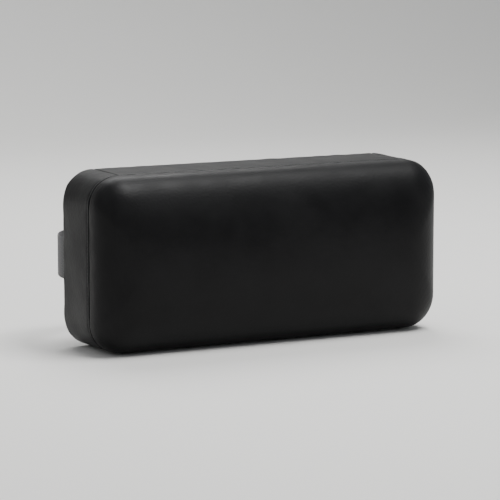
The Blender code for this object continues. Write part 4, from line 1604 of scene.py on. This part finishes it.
@dataclass
class Buckle:
    """A side-release buckle: a socket with windows at its sides, and a plug with two prongs."""

    wall: float = 2.0 * MM
    side_wall: float = 2.5 * MM
    bar_width: float = 5.0 * MM
    bar: float = 3.2 * MM
    slot: float = 5.0 * MM
    cheek: float = 5.4 * MM
    window_inset: float = 8 * MM
    window: float = 16 * MM
    scoop: float = 2.4 * MM
    tongue_length: float = 18 * MM
    tongue: float = 3.6 * MM
    prong_z: float = 13 * MM
    outer_edge: float = 1.4 * MM
    corner: float = 2.3 * MM
    inner_edge: float = 0.15 * MM
    rib: float = 0.3 * MM
    shy: float = 0.05 * MM
    root_radius: float = 2.3 * MM
    guide: tuple[float, float] = (4.2 * MM, 5.0 * MM)
    guide_height: float = 1.6 * MM
    head_reach: float = 0.6 * MM
    root: float = 2.0 * MM
    spine: float = 0.35 * MM
    arm: float = 1.6 * MM
    button_pitch: float = 2.2 * MM

    def __post_init__(self) -> None:
        """Reads where the two halves lie. A core stays shy of its walls' outline."""
        self.socket_low, self.socket_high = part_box("buckle_socket")
        self.plug_low, self.plug_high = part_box("buckle_plug")
        self.half_z = self.socket_high.z
        self.inner_z = self.half_z - self.cheek
        self.front_y, self.rear_y = self.socket_low.y, self.socket_high.y
        self.middle_y = (self.front_y + self.rear_y) / 2

    def shells(self, piece: Piece, outline: np.ndarray) -> None:
        """Adds the front and rear walls of one half, with large outer and small inner edges."""
        front = (self.front_y, self.front_y + self.wall)
        rear = (self.rear_y - self.wall, self.rear_y)
        slab(piece, outline, *front, (self.outer_edge, self.inner_edge))
        slab(piece, outline, *rear, (self.inner_edge, self.outer_edge))

    def core(self, piece: Piece, outline: np.ndarray) -> None:
        """Adds what stands between the walls. It reaches a little way into both."""
        reach = self.wall - 0.4 * MM
        slab(piece, outline, self.front_y + reach, self.rear_y - reach, self.inner_edge)

    def strap_bar(self, piece: Piece, low: float, high: float) -> None:
        """Adds the bar that the strap turns round, with a smooth rounded section."""
        reach = self.inner_z + 0.5 * MM
        z = np.linspace(-reach, reach, 15)
        path = combine((low + high) / 2, self.middle_y, z)
        half_x = (high - low) / 2
        section = rounded((-half_x, -self.bar / 2), (half_x, self.bar / 2), 1.4 * MM)
        sweep(piece, path, X_AXIS, Y_AXIS, section)

    def grips(self, piece: Piece, places: Sequence[float], reach: float) -> None:
        """Adds low ribs to the rear wall, each parallel to Z."""
        for x in places:
            rib = rounded((x - 0.5 * MM, -reach), (x + 0.5 * MM, reach), 0.49 * MM)
            slab(piece, rib, self.rear_y - 0.5 * MM, self.rear_y + self.rib, 0.28 * MM)

    @staticmethod
    def mirrored(half: Sequence[tuple[float, float]]) -> np.ndarray:
        """A whole outline from its upper half, which runs from one end on Z = 0 to the other."""
        upper = np.array(half)
        return np.concatenate([upper, upper[::-1] * (1, -1)])

    def build_socket(self) -> None:
        """Makes the socket. Its walls are scooped at the windows, by depth * sin(t)**2."""
        rear, mouth = self.socket_low.x, self.socket_high.x
        window = (mouth - self.window_inset - self.window, mouth - self.window_inset)
        slot = rear + self.bar_width + self.slot
        t = np.linspace(0, math.pi, 13)
        scoop = np.stack(
            [
                np.linspace(window[1] + MM, window[0] - MM, len(t)),
                self.half_z - self.scoop * np.sin(t) ** 2,
            ],
            axis=1,
        )
        inner, outer = self.inner_z, self.half_z
        half = [(mouth, outer), *scoop, (rear, outer), (rear, inner), (slot, inner)]
        piece = Piece("socket_shell")
        self.shells(piece, soften(self.mirrored(half), self.corner))
        outer -= self.shy
        wall_z = outer - self.side_wall
        back = slot + self.wall
        half = [(back, wall_z), (window[0], wall_z), (window[0], outer), (rear + self.shy, outer)]
        half += [(rear + self.shy, inner + self.shy), (slot + self.shy, inner + self.shy)]
        self.core(piece, soften(self.mirrored(half), 0.8 * MM))
        for sign in (-1, 1):
            ends = sorted((sign * wall_z, sign * outer))
            corner = rounded((window[1], ends[0]), (mouth - self.shy, ends[1]), 0.6 * MM)
            self.core(piece, corner)
            guide = sorted(sign * z for z in self.guide)
            rail = rounded((back, guide[0]), (mouth - 2 * MM, guide[1]), 0.3 * MM)
            reach = self.wall - 0.3 * MM
            front, rear_face = self.front_y + reach, self.rear_y - reach
            slab(piece, rail, front, front + self.guide_height, 0.2 * MM)
            slab(piece, rail, rear_face - self.guide_height, rear_face, 0.2 * MM)
        self.strap_bar(piece, rear, rear + self.bar_width)
        self.grips(piece, [mouth - step * MM for step in (2.6, 4.4, 6.2)], 9 * MM)
        piece.finish(Material.BUCKLE, "cushion", ["buckle_socket"])

    def build_plug(self) -> None:
        """Makes the plug, with a pocket for the root of each prong and a tongue between them."""
        mouth, rear = self.plug_low.x + self.tongue_length, self.plug_high.x
        slot = rear - self.bar_width - self.slot
        inner, outer = self.inner_z, self.half_z
        half = [(mouth, outer), (rear, outer), (rear, inner), (slot, inner)]
        piece = Piece("plug_shell")
        self.shells(piece, soften(self.mirrored(half), self.corner))
        outer, inner, pocket = outer - self.shy, inner + self.shy, mouth + 4.8 * MM
        low_z, high_z = self.prong_z - self.root_radius, self.prong_z + self.root_radius
        half = [(mouth + self.shy, low_z), (pocket, low_z), (pocket, high_z)]
        half += [(mouth + self.shy, high_z), (mouth + self.shy, outer), (rear - self.shy, outer)]
        half += [(rear - self.shy, inner), (slot - self.shy, inner)]
        self.core(piece, soften(self.mirrored(half), 0.5 * MM))
        self.strap_bar(piece, rear - self.bar_width, rear)
        tip, root = self.plug_low.x, mouth + MM
        half = [(root, 3.5 * MM), (tip + 4 * MM, 3.2 * MM), (tip, 1.8 * MM)]
        thick = self.tongue / 2
        tongue = soften(self.mirrored(half), 1.6 * MM)
        front, back = self.middle_y - thick, self.middle_y + thick
        slab(piece, tongue, front, back, 0.8 * MM)
        spine = rounded((tip + 3 * MM, -0.7 * MM), (root, 0.7 * MM), 0.6 * MM)
        slab(piece, spine, front - self.spine, back + self.spine, 0.3 * MM)
        self.grips(piece, [mouth + step * MM for step in (2.4, 4.2, 6.0)], 14 * MM)
        piece.finish(Material.BUCKLE, "plug", ["buckle_plug"])

    def build_prong(self, side: str, sign: int) -> None:
        """Makes a prong: a spring arm from its round root to a head with a ribbed button."""
        low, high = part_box(f"buckle_prong_{side}")
        root = high.x - self.root
        catch = self.socket_high.x - self.window_inset - self.head_reach
        button = self.socket_high.x - self.window_inset - self.window + self.head_reach
        arm, top = self.arm, self.half_z - self.head_reach - self.prong_z
        outline = np.array(
            [
                (root + 2.0 * MM, 1.0 * MM),
                (root + 0.6 * MM, 2.0 * MM),
                (root - 1.4 * MM, 1.55 * MM),
                (catch, arm),
                (catch, top - 1.6 * MM),
                (catch - 1.6 * MM, top),
                (button + 3 * MM, top),
                (button, top - 3 * MM),
                (low.x + 1.2 * MM, arm),
                (low.x, 0.7 * MM),
                (low.x, -0.7 * MM),
                (low.x + 1.2 * MM, -arm),
                (root - 1.4 * MM, -1.55 * MM),
                (root + 0.6 * MM, -2.0 * MM),
                (root + 2.0 * MM, -1.0 * MM),
            ]
        )
        outline[:, 1] = sign * (self.prong_z + outline[:, 1])
        piece = Piece(f"prong_{side}")
        slab(piece, soften(outline, 0.9 * MM), low.y, high.y, 0.45 * MM)
        y = np.linspace(low.y + 0.8 * MM, high.y - 0.8 * MM, 7)
        for step in range(4):
            x = button + 4.0 * MM + self.button_pitch * step
            z = sign * (self.prong_z + top)
            tube(piece, combine(x, y, z), 0.42 * MM, 10, X_AXIS)
        piece.finish(Material.BUCKLE, f"{side}_prong", [f"buckle_prong_{side}"])

    def build(self) -> None:
        """Makes both halves of the buckle."""
        self.build_socket()
        self.build_plug()
        for side, sign in (("upper", 1), ("lower", -1)):
            self.build_prong(side, sign)


@dataclass
class Adjuster:
    """The slide that sets the strap's length: a flat frame behind it and a knurled pin before it."""

    rail: float = 3.0 * MM
    bar: float = 3.0 * MM
    top: float = 2.2 * MM
    corner: float = 1.3 * MM
    inset: float = 0.06 * MM
    pin: float = 1.3 * MM

    def build(self) -> None:
        """Makes the two rails, the two bars and the pin, whose radius ripples round it."""
        low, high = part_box("strap_adjuster")
        piece = Piece("length_slide")
        for sign in (-1, 1):
            ends = sorted((sign * (high.z - self.rail), sign * high.z))
            rail = rounded((low.x, ends[0]), (high.x, ends[1]), self.corner)
            slab(piece, rail, low.y, high.y, (0.9 * MM, 0.9 * MM))
            x = low.x if sign < 0 else high.x - self.bar
            ends = (x + self.inset, x + self.bar - self.inset)
            reach = high.z - self.rail / 2
            bar = rounded((ends[0], -reach), (ends[1], reach), self.corner)
            slab(piece, bar, high.y - self.top, high.y - self.inset, 0.7 * MM)
        z = np.linspace(-high.z + 1.2 * MM, high.z - 1.2 * MM, 61)
        path = combine((low.x + high.x) / 2, low.y + self.pin, z)
        radius = self.pin * (1 - 0.05 * (1 + np.cos(math.tau * z / (2.4 * MM))) / 2)
        tube(piece, path, radius, 18, X_AXIS)
        piece.finish(Material.BUCKLE, "adjuster", ["strap_adjuster"])


# --- Studio ---------------------------------------------------------------------------


@dataclass
class Studio:
    """A pale floor, three soft lamps and a camera in front of the cushion, to its left."""

    floor_z: float
    azimuth: float = -28.0
    elevation: float = 8.0
    distance: float = 2.6
    view_width: float = 0.46
    target: tuple[float, float, float] = (0.0, -0.03, 0.0)
    sensor: float = 36.0
    floor_bend: float = 1.2
    floor_level: float = 1.6
    floor_size: float = 6.0
    floor_half_width: float = 7.0
    lamp_distance: float = 2.0
    ambient: float = 0.50

    @staticmethod
    def towards(azimuth: float, elevation: float) -> Vector:
        """The direction from the object at an azimuth and elevation in degrees."""
        a, e = math.radians(azimuth), math.radians(elevation)
        return Vector((math.sin(a) * math.cos(e), -math.cos(a) * math.cos(e), math.sin(e)))

    def build_floor(self) -> None:
        """Lays a wide floor that curves up behind into a backdrop.

        The profile is level, then turns up through a quarter circle and runs straight up.
        """
        angle = np.linspace(0, math.pi / 2, 16)
        radius, start = self.floor_bend, self.floor_level
        bend = np.stack([start + radius * np.sin(angle), radius * (1 - np.cos(angle))], axis=1)
        profile = np.concatenate([[[-self.floor_size, 0.0]], bend, [[start + radius, self.floor_size]]])
        x = np.linspace(-self.floor_half_width, self.floor_half_width, 3)
        points = combine(x, profile[:, :1], self.floor_z + profile[:, 1:])
        mesh = bpy.data.meshes.new("floor")
        faces = flipped(grid_faces(*points.shape[:2]))
        mesh.from_pydata(points.reshape(-1, 3).tolist(), [], faces)
        mesh.polygons.foreach_set("use_smooth", np.ones(len(mesh.polygons), bool))
        mesh.materials.append(Finish("floor_paint", "", "#e6e5e2", 0.8).build())
        floor = bpy.data.objects.new("floor", mesh)
        bpy.context.scene.collection.objects.link(floor)

    def add_lamp(self, name: str, azimuth: float, elevation: float, size: float, power: float) -> None:
        """Hangs a square soft lamp that faces the cushion. Its size is in metres, its power in watts."""
        lamp = bpy.data.lights.new(name, "AREA")
        lamp.energy = power
        lamp.size = size
        obj = bpy.data.objects.new(name, lamp)
        obj.location = self.towards(azimuth, elevation) * self.lamp_distance
        obj.rotation_euler = (-obj.location).to_track_quat("-Z", "Y").to_euler()
        bpy.context.scene.collection.objects.link(obj)

    def build(self) -> None:
        """Makes the floor, the lamps, the ambient light and the camera."""
        self.build_floor()
        self.add_lamp("key_lamp", azimuth=40, elevation=68, size=1.0, power=46)
        self.add_lamp("fill_lamp", azimuth=-75, elevation=35, size=1.6, power=4)
        self.add_lamp("back_lamp", azimuth=165, elevation=55, size=1.2, power=30)
        world = bpy.data.worlds.new("studio")
        world.use_nodes = True
        sky = world.node_tree.nodes["Background"].inputs
        sky["Color"].default_value = linear("#dfe2e6")
        sky["Strength"].default_value = self.ambient
        bpy.context.scene.world = world
        data = bpy.data.cameras.new("camera")
        data.sensor_width = self.sensor
        data.lens = self.sensor * self.distance / self.view_width
        camera = bpy.data.objects.new("camera", data)
        back = self.towards(self.azimuth, self.elevation)
        camera.location = Vector(self.target) + back * self.distance
        camera.rotation_euler = (-back).to_track_quat("-Z", "Y").to_euler()
        bpy.context.scene.collection.objects.link(camera)
        bpy.context.scene.camera = camera


# --- Build ----------------------------------------------------------------------------


def main() -> None:
    """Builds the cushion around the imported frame."""
    logging.basicConfig(level=logging.INFO, format="%(message)s")
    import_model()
    front_low, front_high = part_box("front_panel")
    band_low, band_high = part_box("top_gusset")
    form = CushionForm(
        half_x=front_high.x,
        half_z=front_high.z,
        rear_y=band_high.y,
        seam_y=band_low.y,
        crown=band_low.y - front_low.y - 2 * MM,
    )
    Studio(floor_z=front_low.z - 0.5 * MM).build()
    cloth = Cover(form).build()
    Filling(form, rear_y=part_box("foam_core")[1].y).build(cloth)
    Zip().build()
    Straps().build()
    Buckle().build()
    Adjuster().build()


if __name__ == "__main__":
    main()
